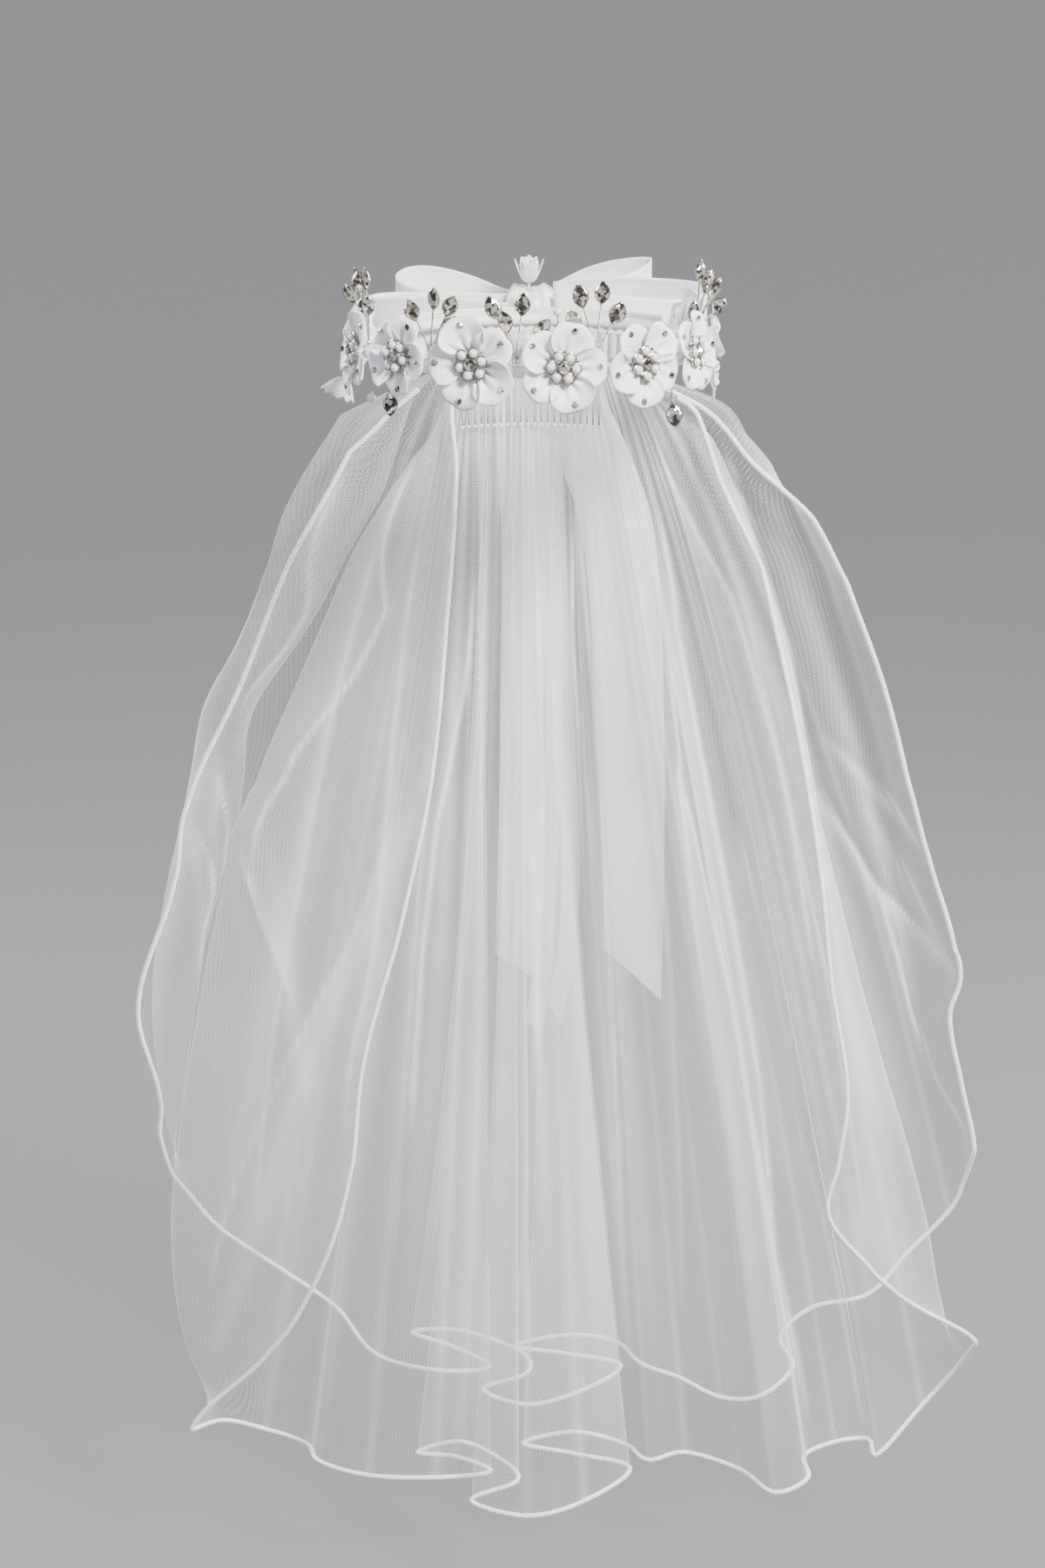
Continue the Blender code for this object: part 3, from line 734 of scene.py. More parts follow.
@dataclass(frozen=True)
class Twist:
    """Strands laid round one another."""

    strands: int
    lay_radius: float
    strand_radius: float
    pitch: float
    turns_step: int = 7

    def splines(self, curve: bpy.types.Curve, route: np.ndarray) -> None:
        """Adds the strands of one route to a curve.

        Args:
            curve: the curve data.
            route: the points of the route.
        """
        points = evenly(route, self.pitch / self.turns_step)
        side, other = transported(points)
        turn = np.arange(len(points)) / self.turns_step * 2 * math.pi
        for strand in range(self.strands):
            angle = (turn + strand * 2 * math.pi / self.strands)[:, None]
            places = points + (side * np.cos(angle) + other * np.sin(angle)) * self.lay_radius
            spline = curve.splines.new("POLY")
            spline.points.add(len(places) - 1)
            spline.points.foreach_set("co", np.hstack([places, np.ones((len(places), 1))]).ravel())

    def piece(self, name: str, routes: Sequence[np.ndarray], material: bpy.types.Material,
              resolution: int = 1) -> bpy.types.Object:
        """Makes the routes' strands as one welded mesh piece.

        Args:
            name: the piece's name.
            routes: the points of each route.
            material: the finish.
            resolution: roundness of each strand.

        Returns:
            The piece.
        """
        curve = bpy.data.curves.new(name, "CURVE")
        curve.dimensions = "3D"
        curve.bevel_depth = self.strand_radius
        curve.bevel_resolution = resolution
        curve.use_fill_caps = True
        for route in routes:
            self.splines(curve, route)
        holder = bpy.data.objects.new(name + "_route", curve)
        bpy.context.scene.collection.objects.link(holder)
        shaped = holder.evaluated_get(bpy.context.evaluated_depsgraph_get())
        mesh = bpy.data.meshes.new_from_object(shaped)
        bpy.data.objects.remove(holder, do_unlink=True)
        bpy.data.curves.remove(curve)
        bm = bmesh.new()
        bm.from_mesh(mesh)
        bmesh.ops.remove_doubles(bm, verts=bm.verts, dist=0.00001)
        bpy.data.meshes.remove(mesh)
        return finished(name, bm, [material])


@dataclass
class Tier:
    """One gathered tier of net and the cord sewn round its edge."""

    name: str
    left: list[list[Station]]
    folds: list[Fold]
    right: list[list[Station]]
    creases: list[Crease]
    ridges: list[Ridge]
    radius: float
    hang: float
    area: float
    rows: int = 150
    spacing: float = 0.0019
    crowding: float = 1.25
    gather_depth: float = 0.0008
    gather_reach: float = 0.12
    crease_closeness: float = 0.085
    ridge_relief_width: float = 0.004
    ridge_line_width: float = 0.0016
    ridge_line: float = 1.3
    ridge_beside: float = 0.5
    gather_relief: float = 0.0060
    fold_line_width: float = 0.075
    most_gathered: float = 0.85
    cord: Twist = field(default_factory=lambda: Twist(3, 0.00075, 0.00078, 0.0066))

    def station_line(self, stations: list[Station], v: np.ndarray) -> np.ndarray:
        """A given edge or fold at every v.

        Args:
            stations: its points, from the comb down.
            v: the levels.

        Returns:
            Points by level.
        """
        table = np.array(stations) * MM
        height = table[0, 0] + (table[-1, 0] - table[0, 0]) * v
        position = np.interp(-height, -table[:, 0], np.arange(len(table)))
        return np.column_stack([catmull(table[:, 1:], position), height])

    def fold_line(self, fold: Fold, side: int, v: np.ndarray) -> np.ndarray:
        """A fold line at every v, from the comb's arc to the hem.

        Args:
            fold: the fold.
            side: 1 or -1, the way that it leans in the gathers.
            v: the levels.

        Returns:
            Points by level.
        """
        start_x = fold.comb_x * MM
        start_y = math.sqrt(self.radius ** 2 - start_x ** 2)
        wave = np.sin(math.pi * v)
        reach = v / self.gather_reach
        gather = self.gather_depth * side * reach * np.exp(1 - reach)
        x = start_x + (fold.hem_x * MM - start_x) * v ** fold.flare + fold.sway * MM * wave
        y = start_y + (fold.hem_y * MM - start_y) * v ** self.hang + fold.belly * MM * wave + gather
        return np.column_stack([x, y, TULLE_TOP + (fold.hem_z * MM - TULLE_TOP) * v])

    def crease_shape(self, crease: Crease, breadth: float) -> np.ndarray:
        """A crease's profile over the cloth.

        Args:
            crease: its place and size.
            breadth: a factor on its width.

        Returns:
            Values from 0 to 1 by column and row.
        """
        v, across = self.levels(), self.across()
        run = np.clip((v - crease.top) / (crease.bottom - crease.top), 0, 1)
        middle = crease.at + crease.drift * run
        shape = np.exp(-((across[:, None] - middle[None, :]) / (crease.width * breadth)) ** 2)
        return shape * (np.sin(math.pi * run) ** 0.7)[None, :]

    def lines(self, v: np.ndarray) -> np.ndarray:
        """Every edge and fold line, from left to right, at the given levels.

        Args:
            v: the levels.

        Returns:
            Points by line and level.
        """
        lines = [self.station_line(stations, v) for stations in self.left]
        lines += [self.fold_line(fold, 1 if index % 2 else -1, v) for index, fold in enumerate(self.folds)]
        return np.stack(lines + [self.station_line(stations, v) for stations in self.right])

    def levels(self) -> np.ndarray:
        """How far down the cloth each row lies, closer together at the comb."""
        return (np.arange(self.rows + 1) / self.rows) ** self.crowding

    def across(self) -> np.ndarray:
        """Where each column lies among the lines, evenly spaced on the cloth.

        Returns:
            Fractional line indices by column.
        """
        gaps = np.linalg.norm(np.diff(self.lines(np.linspace(0.4, 1, 13)), axis=0), axis=2).mean(axis=1)
        counts = np.clip(np.round(gaps / self.spacing), 8, 56).astype(int)
        spans = [index + np.arange(count) / count for index, count in enumerate(counts)]
        return np.concatenate(spans + [[float(len(counts))]])

    def ridge_distance(self, ridge: Ridge, places: np.ndarray) -> tuple[np.ndarray, np.ndarray]:
        """How far each point lies to the right of a ridge, and the ridge's strength at its level.

        Args:
            ridge: the ridge.
            places: the cloth's points by column and row.

        Returns:
            The distance in metres by column and row, and the strength by row.
        """
        v, across = self.levels(), self.across()
        slope = np.gradient(places, across, axis=0)
        way = np.array(ridge.way)
        at = np.interp(v, way[:, 1], way[:, 0])
        off = (across[:, None] - at[None, :]) * np.linalg.norm(slope, axis=2) * np.sign(slope[:, :, 0] + 1e-9)
        fade = np.clip((v - way[0, 1]) / 0.05, 0, 1) * np.clip((way[-1, 1] + 0.04 - v) / 0.08, 0, 1)
        return off, (fade * fade * (3 - 2 * fade))[None, :]

    def places(self) -> np.ndarray:
        """The cloth's points by column and row, with its creases raised along its normal.

        Returns:
            Points by column and row.
        """
        v, across = self.levels(), self.across()
        places = catmull(self.lines(v), across)
        normal = np.cross(np.gradient(places, axis=0), np.gradient(places, axis=1))
        normal /= np.linalg.norm(normal, axis=2)[:, :, None] + 1e-12
        relief = np.zeros(places.shape[:2])
        for crease in self.creases:
            relief += crease.depth * MM * self.crease_shape(crease, 1.0)
        for ridge in self.ridges:
            off, fade = self.ridge_distance(ridge, places)
            relief += ridge.depth * MM * np.exp(-(off / self.ridge_relief_width) ** 2) * fade
        fine = np.sin(across * 9.1 + 1.7 * np.sin(across * 1.3))[:, None] * (v * np.exp(-v / 0.24))[None, :]
        relief += self.gather_relief * fine
        edge = np.clip(np.minimum(across, across[-1] - across) / 1.0, 0, 1)[:, None]
        hem = np.clip((1 - v) / 0.02, 0, 1)[None, :]
        return places + normal * (relief * edge * hem)[:, :, None]

    def closeness(self, places: np.ndarray) -> np.ndarray:
        """How far the net is gathered at each point: 1 at the comb, 0 where it hangs free.

        Args:
            places: the cloth's points by column and row.

        Returns:
            Values from 0 to 0.85 by column and row.
        """
        width = np.linalg.norm(np.diff(places, axis=0), axis=2).sum(axis=0)
        share = np.clip(0.15 * width[-1] / width - 0.36, 0, 0.62)
        v, across = self.levels(), self.across()
        s = 2 * across / across[-1] - 1
        streak = np.sin(across * 7.3 + 2.1 * np.sin(across * 0.9) + 1.5 * np.sin(across * 2.7))
        close = share[None, :] * ((1 - np.abs(s) ** 5) * (0.68 + 0.44 * streak))[:, None]
        close = close + 0.13 * np.clip(streak, 0, 1)[:, None] * np.exp(-v / 0.5)[None, :]
        first = len(self.left)
        for index, fold in enumerate(self.folds):
            press = (0.26 if fold.flare > 1.5 else 0.24) * (0.72 + 0.28 * np.sin(v * 5 + index * 2.6))
            line = np.exp(-((across - first - index) / self.fold_line_width) ** 2)
            close = close + line[:, None] * press[None, :]
        for crease in self.creases:
            close = close + abs(crease.depth) * self.crease_closeness * self.crease_shape(crease, 0.8)
        for ridge in self.ridges:
            off, fade = self.ridge_distance(ridge, places)
            beside = np.exp(-np.abs(off) / (ridge.spread * MM)) * (off * ridge.side > 0)
            line = self.ridge_line * np.exp(-(off / self.ridge_line_width) ** 2)
            close = close + ridge.dense * (line + self.ridge_beside * beside) * fade
        return np.clip(close, 0, self.most_gathered)

    def build(self, palette: Palette) -> None:
        """Makes the net and its edge cord.

        Args:
            palette: the veil's materials.
        """
        places = self.places()
        net = draped(self.name + "_net", places, cloth_map(places), palette.net,
                     {"gather": self.closeness(places)})
        ride(net, "tulle", self.name)
        hem_width = float(np.linalg.norm(np.diff(places[:, -1], axis=0), axis=1).sum())
        drop = float(np.linalg.norm(np.diff(places[places.shape[0] // 2], axis=0), axis=1).sum())
        cord = self.cord.piece(self.name + "_edge_twist", [self.edge_route(places)], palette.cord)
        ride(cord, "edge_cord", self.name + "_cord")
        self.area * hem_width * drop

    def edge_route(self, places: np.ndarray) -> np.ndarray:
        """The cord's route, just outside the side edges and the hem.

        Args:
            places: the cloth's points by column and row.

        Returns:
            The points of the route.
        """
        start = int(self.rows * (1 / 12) ** (1.35 / self.crowding))
        edge = np.concatenate([places[0, start:], places[1:-1, -1], places[-1, start:][::-1]])
        inner = np.concatenate([places[2, start:], places[1:-1, -3], places[-3, start:][::-1]])
        outward = edge - inner
        outward /= np.linalg.norm(outward, axis=1)[:, None] + 1e-12
        return edge + outward * 0.0009


@dataclass
class WreathRing:
    """The ring of wire wrapped in a narrow satin tape."""

    wraps: int = 72
    around: int = 288
    sides: int = 16

    def build(self, palette: Palette) -> None:
        """Makes the wrapped ring.

        Args:
            palette: the veil's materials.
        """
        turn, face = np.meshgrid(np.arange(self.around + 1) / self.around,
                                 np.arange(self.sides + 1) / self.sides, indexing="ij")
        lap = (turn * self.wraps + face) % 1.0
        radius = RING_WIRE * (0.90 + 0.12 * lap ** 0.6)
        angle = turn * 2 * math.pi
        tilt = -face * 2 * math.pi
        out = RING_RADIUS + radius * np.cos(tilt)
        places = np.stack([out * np.cos(angle), out * np.sin(angle), radius * np.sin(tilt)], axis=2)
        cloth = np.stack([turn * 0.55, face * 0.022], axis=2)
        ring = draped("wreath_ring_wrap", places, cloth, palette.ribbon, round_about=True)
        ride(ring, "ribbon_satin", "wreath_ring")


@dataclass
class SatinFlower:
    """A five-petal satin flower with stones near its rim and pearls round a faceted stone."""

    index: int
    angle: float
    height: float
    size: float
    spin: float
    tilt: float
    radius: float = 0.0245
    eye: float = 0.0024
    cup: float = 0.0065
    petals: int = 5
    across: int = 22
    out: int = 16

    def frame(self) -> Matrix:
        """Carries the flower, drawn facing +Z, to its seat on the ring.

        Returns:
            The matrix.
        """
        angle = math.radians(self.angle)
        outward = Vector((math.sin(angle), -math.cos(angle), 0))
        place = Matrix.Translation(outward * FLOWER_SEAT + Vector((0, 0, self.height * MM)))
        face = outward.to_track_quat("Z", "Y").to_matrix().to_4x4()
        tilt = Matrix.Rotation(math.radians(-self.tilt), 4, "X")
        return place @ face @ tilt @ Matrix.Rotation(math.radians(self.spin), 4, "Z")

    def grid(self) -> list[np.ndarray]:
        """Where each point lies across a petal, from -1 to 1, and out from the eye, from 1 to 0."""
        return np.meshgrid(np.linspace(-1, 1, self.across + 1), np.linspace(1, 0, self.out + 1),
                           indexing="ij")

    def petal_places(self, petal: int) -> np.ndarray:
        """One petal's points: across its width and out from the eye.

        Args:
            petal: which petal.

        Returns:
            Points by column and row.
        """
        c, t = self.grid()
        vary = math.sin(petal * 2.4 + self.index * 1.7)
        outline = 1.0 + 0.03 * vary - 0.26 * np.abs(c) ** 2.8 + 0.012 * np.cos(c * 9 + vary * 4)
        rim = self.radius * self.size * outline
        spread = math.radians(41 + 2 * vary) * (0.62 + 0.5 * np.sin(math.pi * np.clip(t * 0.78, 0, 1)))
        angle = (petal + 0.5) * 2 * math.pi / self.petals + c * spread
        radius = self.eye + (rim - self.eye) * t
        pleat = np.cos(c * 11 + vary) * np.exp(-((t - 0.32) / 0.27) ** 2) * 0.0013
        bowl = self.cup * t ** 1.5 + 0.0030 * np.abs(c) ** 2.2 * t ** 1.5 - 0.0036 * t ** 6
        lap = 0.0011 * c * t ** 0.5 + 0.0006 * vary * t
        lift = bowl + pleat + lap + 0.0008 * np.sin(c * 3.1 + vary * 5) * t ** 3
        return np.stack([np.cos(angle) * radius, np.sin(angle) * radius, lift], axis=2)

    def build(self, palette: Palette) -> None:
        """Makes the petals, the rim stones and the centre.

        Args:
            palette: the veil's materials.
        """
        carry = self.frame()
        turn = np.array(carry.to_3x3())
        shift = np.array(carry.translation)
        c, t = self.grid()
        rim = bmesh.new()
        parts = []
        for petal in range(self.petals):
            local = self.petal_places(petal)
            places = local @ turn.T + shift
            parts.append(draped("petal", places, np.stack([c * 0.5 + petal, t], axis=2), palette.petal))
            seat = Vector(local[self.across // 2, 3])
            normal = Vector((-seat.x * 0.25 / self.radius, -seat.y * 0.25 / self.radius, 1)).normalized()
            add_round_stone(rim, carry @ Matrix.Translation(seat + normal * 0.0006)
                            @ normal.to_track_quat("Z", "Y").to_matrix().to_4x4(), 0.0016)
        bloom = joined("flower_%d_petals" % self.index, parts)
        wall = bloom.modifiers.new("Wall", "SOLIDIFY")
        wall.thickness = 0.0005
        wall.offset = 0.0
        ride(bloom, "petal_satin", "flower_%d" % self.index)
        stones = finished("flower_%d_rim_stones" % self.index, rim, [palette.stone, palette.wire], False)
        ride(stones, "crystal")
        self.build_centre(carry, palette)

    def build_centre(self, carry: Matrix, palette: Palette) -> None:
        """Makes six wire-ringed pearls round one stone.

        Args:
            carry: the flower's matrix.
            palette: the veil's materials.
        """
        bm = bmesh.new()
        for pearl in range(6):
            angle = pearl * math.pi / 3 + 0.3
            reach = 0.0061 + 0.0004 * math.sin(pearl * 2.1 + self.index)
            seat = Vector((math.cos(angle) * reach, math.sin(angle) * reach,
                           0.0044 + 0.0004 * math.cos(pearl * 3.0)))
            place = carry @ Matrix.Translation(seat)
            add_ball(bm, place, 0.0024, 0, 14)
            add_loop(bm, place @ Matrix.Translation((0, 0, 0.0002)), 0.0027, 0.00055, 2)
            add_ball(bm, carry @ Matrix.Translation((math.cos(angle + 0.5) * 0.0079,
                                                     math.sin(angle + 0.5) * 0.0086, 0.0040)), 0.0009, 2, 8)
        add_round_stone(bm, carry @ Matrix.Translation((0, 0, 0.0062)), 0.0028, 1, 2)
        add_loop(bm, carry @ Matrix.Translation((0, 0, 0.0055)), 0.0031, 0.00035, 2)
        centre = finished("flower_%d_pearl_centre" % self.index, bm,
                          [palette.pearl, palette.stone, palette.wire])
        soften(centre)
        ride(centre, "pearl", "flower_%d_centre" % self.index)


def soften(piece: bpy.types.Object) -> None:
    """Keeps the edges of facets sharp on a smooth-shaded piece."""
    piece.data.set_sharp_from_angle(angle=math.radians(28))


def joined(name: str, parts: Sequence[bpy.types.Object]) -> bpy.types.Object:
    """One piece from several that share a material.

    Args:
        name: the piece's name.
        parts: what it takes, removed afterwards.

    Returns:
        The piece.
    """
    bm = bmesh.new()
    for part in parts:
        bm.from_mesh(part.data)
    whole = finished(name, bm, list(parts[0].data.materials))
    for part in parts:
        mesh = part.data
        bpy.data.objects.remove(part, do_unlink=True)
        bpy.data.meshes.remove(mesh)
    return whole


def dress(faces: Sequence[bmesh.types.BMFace], material: int) -> None:
    """Gives faces a material slot."""
    for face in faces:
        face.material_index = material


def faces_of(verts: Sequence[bmesh.types.BMVert]) -> list[bmesh.types.BMFace]:
    """The faces that new vertices carry."""
    return list({face for vertex in verts for face in vertex.link_faces})


def add_ball(bm: bmesh.types.BMesh, place: Matrix, radius: float, material: int, segments: int) -> None:
    """Adds a ball.

    Args:
        bm: the mesh that takes it.
        place: its matrix.
        radius: its radius.
        material: its slot.
        segments: faces round it.
    """
    made = bmesh.ops.create_uvsphere(bm, u_segments=segments, v_segments=segments // 2 + 2,
                                     radius=radius, matrix=place)
    dress(faces_of(made["verts"]), material)


def add_loop(bm: bmesh.types.BMesh, place: Matrix, radius: float, wire: float, material: int) -> None:
    """Adds a small closed ring of wire by spinning a circle.

    Args:
        bm: the mesh that takes it.
        place: its matrix.
        radius: the ring's radius.
        wire: the wire's radius.
        material: its slot.
    """
    upright = Matrix.Translation((radius, 0, 0)) @ Matrix.Rotation(math.pi / 2, 4, "X")
    made = bmesh.ops.create_circle(bm, segments=6, radius=wire, cap_ends=False, matrix=upright)
    edges = list({edge for vertex in made["verts"] for edge in vertex.link_edges})
    before = set(bm.faces)
    bmesh.ops.spin(bm, geom=edges, cent=(0, 0, 0), axis=(0, 0, 1), angle=2 * math.pi, steps=18,
                   use_merge=True)
    new = [face for face in bm.faces if face not in before]
    dress(new, material)
    bmesh.ops.recalc_face_normals(bm, faces=new)
    verts = list({vertex for face in new for vertex in face.verts})
    bmesh.ops.transform(bm, matrix=place, verts=verts)


def add_round_stone(bm: bmesh.types.BMesh, place: Matrix, radius: float, stone: int = 0,
                    metal: int = 1) -> None:
    """Adds a brilliant with a flat table in a plain metal cup.

    Args:
        bm: the mesh that takes it.
        place: its matrix.
        radius: the stone's radius.
        stone: the stone's slot.
        metal: the cup's slot.
    """
    crown = Matrix.Translation((0, 0, radius * 0.22))
    made = bmesh.ops.create_cone(bm, cap_ends=True, segments=8, radius1=radius, radius2=radius * 0.55,
                                 depth=radius * 0.44, matrix=place @ crown)
    dress(faces_of(made["verts"]), stone)
    cup = Matrix.Translation((0, 0, -radius * 0.3))
    made = bmesh.ops.create_cone(bm, cap_ends=True, segments=12, radius1=radius * 0.7, radius2=radius * 1.08,
                                 depth=radius * 0.6, matrix=place @ cup)
    dress(faces_of(made["verts"]), metal)


@dataclass
class WireSpray:
    """Crystals or pearls on twisted wires that leave the ring at one place."""

    name: str
    angle: float
    side: int
    leaves: list[Leaf]
    cut: StoneCut = StoneCut.NAVETTE
    bead: float = 0.0014
    twist: Twist = field(default_factory=lambda: Twist(2, 0.00028, 0.00027, 0.0022, 6))

    def root(self) -> Vector:
        """Where the wires are bound to the ring.

        Returns:
            The point.
        """
        angle = math.radians(self.angle)
        height = self.side * (RING_WIRE + 0.0003 + self.bead)
        return Vector((math.sin(angle) * RING_RADIUS, -math.cos(angle) * RING_RADIUS, height))

    def wire_route(self, root: Vector, leaf: Leaf) -> np.ndarray:
        """The bowed route of one wire up to its stone.

        Args:
            root: where the wire starts.
            leaf: the stone that it carries.

        Returns:
            The points of the route.
        """
        tip = Vector((leaf.x, leaf.y, leaf.z)) * MM
        span = tip - root
        share = 1 - leaf.length * 0.85 * MM / span.length
        steps = np.linspace(0, share, 12)[:, None]
        route = np.array(root)[None, :] + np.array(span)[None, :] * steps
        route[:, 2] += 0.002 * np.sin(math.pi * steps[:, 0] / share)
        return route

    def add_navette(self, bm: bmesh.types.BMesh, root: Vector, leaf: Leaf, turn: float) -> None:
        """Adds a pointed oval stone in its metal setting.

        Args:
            bm: the mesh that takes it.
            root: where its wire starts.
            leaf: its tip and length.
            turn: how far it is turned about its wire, in radians.
        """
        tip = Vector((leaf.x, leaf.y, leaf.z)) * MM
        along = (tip - root).normalized()
        length = leaf.length * MM
        middle = tip - along * length / 2
        outward = Vector((middle.x, middle.y - 0.10, 0)).normalized()
        outward = (outward - along * outward.dot(along)).normalized()
        outward = Matrix.Rotation(turn, 3, along) @ outward
        side = along.cross(outward)
        turned = Matrix((side, outward, along)).transposed().to_4x4()
        place = Matrix.Translation(middle) @ turned
        for material, grow, front in ((0, 1.0, 0.62), (1, 1.13, 0.12)):
            made = bmesh.ops.create_uvsphere(bm, u_segments=8, v_segments=8, radius=1.0)
            for vertex in made["verts"]:
                s = vertex.co.z
                swell = (1 - s * s) / max(math.sqrt(1 - s * s), 0.05) if abs(s) < 0.999 else 0.0
                x = vertex.co.x * swell * 0.31 * length * grow
                y = vertex.co.y * swell * 0.15 * length * grow
                y = min(y, 0.15 * length * front)
                vertex.co = Vector((x, y, s * length / 2 * (grow if material == 0 else 1.04)))
            dress(faces_of(made["verts"]), material)
            bmesh.ops.transform(bm, matrix=place, verts=made["verts"])

    def build(self, palette: Palette) -> None:
        """Makes the wires and what they carry.

        Args:
            palette: the veil's materials.
        """
        root = self.root()
        bm = bmesh.new()
        add_ball(bm, Matrix.Translation(root), self.bead, 1, 10)
        for index, leaf in enumerate(self.leaves):
            if self.cut is StoneCut.NAVETTE:
                self.add_navette(bm, root, leaf, 0.45 * math.sin(index * 2.3 + self.angle))
            else:
                tip = Vector((leaf.x, leaf.y, leaf.z)) * MM
                centre = tip - (tip - root).normalized() * leaf.length * MM / 2
                add_ball(bm, Matrix.Translation(centre), leaf.length * MM / 2, 0, 16)
        stone = palette.stone if self.cut is StoneCut.NAVETTE else palette.pearl
        slot = "crystal" if self.cut is StoneCut.NAVETTE else "pearl"
        stones = finished(self.name + "_stones", bm, [stone, palette.wire], self.cut is StoneCut.PEARL)
        ride(stones, slot, self.name)
        routes = [self.wire_route(root, leaf) for leaf in self.leaves]
        ride(self.twist.piece(self.name + "_wires", routes, palette.wire), "crystal")


@dataclass
class Band:
    """A satin strip that stands on edge round the back of the head."""

    name: str
    node: str
    inner: float
    wall: float
    half_angle: float
    bottom: float
    top: float
    pleats: int
    pleat_depth: float
    across: int = 160
    down: int = 16

    def build(self, palette: Palette, material: bpy.types.Material) -> None:
        """Makes the strip with its soft lengthwise or upright pleats.

        Args:
            palette: not used.
            material: the band's own finish.
        """
        s, t = np.meshgrid(np.linspace(-1, 1, self.across + 1), np.linspace(0, 1, self.down + 1),
                           indexing="ij")
        angle = s * math.radians(self.half_angle)
        height = self.top + (self.bottom - self.top) * t
        wave = np.cos(s * self.pleats + 1.4 * np.sin(s * 3.0) + t * 0.8) * self.pleat_depth
        roll = -0.0006 * np.abs(2 * t - 1) ** 6
        radius = self.inner + self.wall / 2 + wave * np.sin(math.pi * t) ** 0.4 + roll
        places = np.stack([np.sin(angle) * radius, np.cos(angle) * radius, height], axis=2)
        # This value across the band places the satin's painted edge highlight and painted shadow line.
        band = draped(self.name, places, cloth_map(places)[:, :, ::-1], material,
                      {"selvedge_and_painted_edge_light": np.abs(2 * t - 1)}, self.wall * 0.8)
        ride(band, "ribbon_satin", self.node)


@dataclass
class BowLoop:
    """A loop of wide ribbon that stands on edge, out from the knot and back."""

    name: str
    side: int
    length: float
    front: float
    back: float
    belly: float
    lean: float
    z_front: float
    z_back: float
    tip_rise: float
    roll: float
    steps: int = 96
    down: int = 14
    knot_half: float = 0.014

    def build(self, palette: Palette) -> None:
        """Makes the loop, drawn in a little at the knot.

        Args:
            palette: the veil's materials.
        """
        s, t = np.meshgrid(np.linspace(0, 1, self.steps + 1), np.linspace(0, 1, self.down + 1), indexing="ij")
        out = np.sin(math.pi * s)
        near = np.exp(-(np.minimum(s, 1 - s) / 0.07) ** 2)
        half = (RIBBON_WIDTH / 2 - 0.0006) * (1 - 0.10 * near)
        x = self.side * (self.knot_half - 0.0015 + (self.length * MM + 0.0024) * out)
        turned = (self.back - self.front) * (1 - np.cos(math.pi * s)) / 2
        y = (self.front + turned + self.belly * out * (s - self.lean)) * MM
        pleat = 0.0007 * near * np.cos(t * 19 + self.length)
        crown = 0.0010 * np.cos((t - 0.5) * math.pi) * np.sin(math.pi * s) ** 2
        y = y + 0.0006 + pleat * 0.7 - crown * np.cos(math.pi * s)
        roll = self.roll * np.sin(2 * math.pi * s)
        z = (self.z_front + (self.z_back - self.z_front) * s + self.tip_rise * out - roll) * MM
        z = z + half * (1 - 2 * t)
        z = z + 0.0006 * np.sin(s * 14 + self.length) * (1 - 2 * t)
        places = np.stack([x, y, z], axis=2)
        # One side of each loop takes the reverse satin, whose darker colour is painted shade.
        # This value across the ribbon places the satin's painted edge highlight and painted shadow line.
        loop = draped(self.name + "_ribbon", places, cloth_map(places)[:, :, ::-1], palette.ribbon,
                      {"selvedge_and_painted_edge_light": np.abs(2 * t - 1)}, 0.0007, reverse=palette.reverse)
        ride(loop, "ribbon_satin", self.name)


@dataclass
class Knot:
    """The pleated band drawn round the middle of the bow."""

    half_width: float = 0.014
    front: float = 0.0934
    back: float = 0.131
    bottom: float = -0.016
    top: float = 0.0175
    pleats: int = 5

    def build(self, palette: Palette) -> None:
        """Makes the knot from a cube rounded and pleated round its girth.

        Args:
            palette: the veil's materials.
        """
        bm = bmesh.new()
        bmesh.ops.create_cube(bm, size=2.0)
        bmesh.ops.subdivide_edges(bm, edges=bm.edges, cuts=31, use_grid_fill=True)
        middle = Vector((0, (self.front + self.back) / 2, (self.top + self.bottom) / 2))
        half = Vector((self.half_width, (self.back - self.front) / 2, (self.top - self.bottom) / 2))
        for vertex in bm.verts:
            p = vertex.co
            girth = (abs(p.y) ** 3.4 + abs(p.z) ** 3.4) ** (1 / 3.4)
            whole = (abs(p.x) ** 3.4 + girth ** 3.4) ** (1 / 3.4)
            shape = p / max(whole, 1e-6)
            pleat = 1 - 0.055 * (0.5 + 0.5 * math.cos(shape.x * math.pi * self.pleats + shape.z * 1.3))
            pinch = 1 - 0.07 * math.cos(shape.x * math.pi / 2)
            dip = 0.0028 * math.exp(-(shape.x / 0.42) ** 2) * max(shape.z, 0)
            vertex.co = middle + Vector((shape.x * half.x * (1 - 0.03 * abs(shape.z)),
                                         shape.y * half.y * pleat,
                                         shape.z * half.z * pleat * pinch - dip))
        knot = finished("bow_knot_wrap", bm, [palette.ribbon])
        layer = knot.data.uv_layers.new(name="cloth")
        for loop in knot.data.loops:
            place = knot.data.vertices[loop.vertex_index].co
            layer.data[loop.index].uv = (place.x, place.y + place.z)
        ride(knot, "ribbon_satin", "bow_knot")


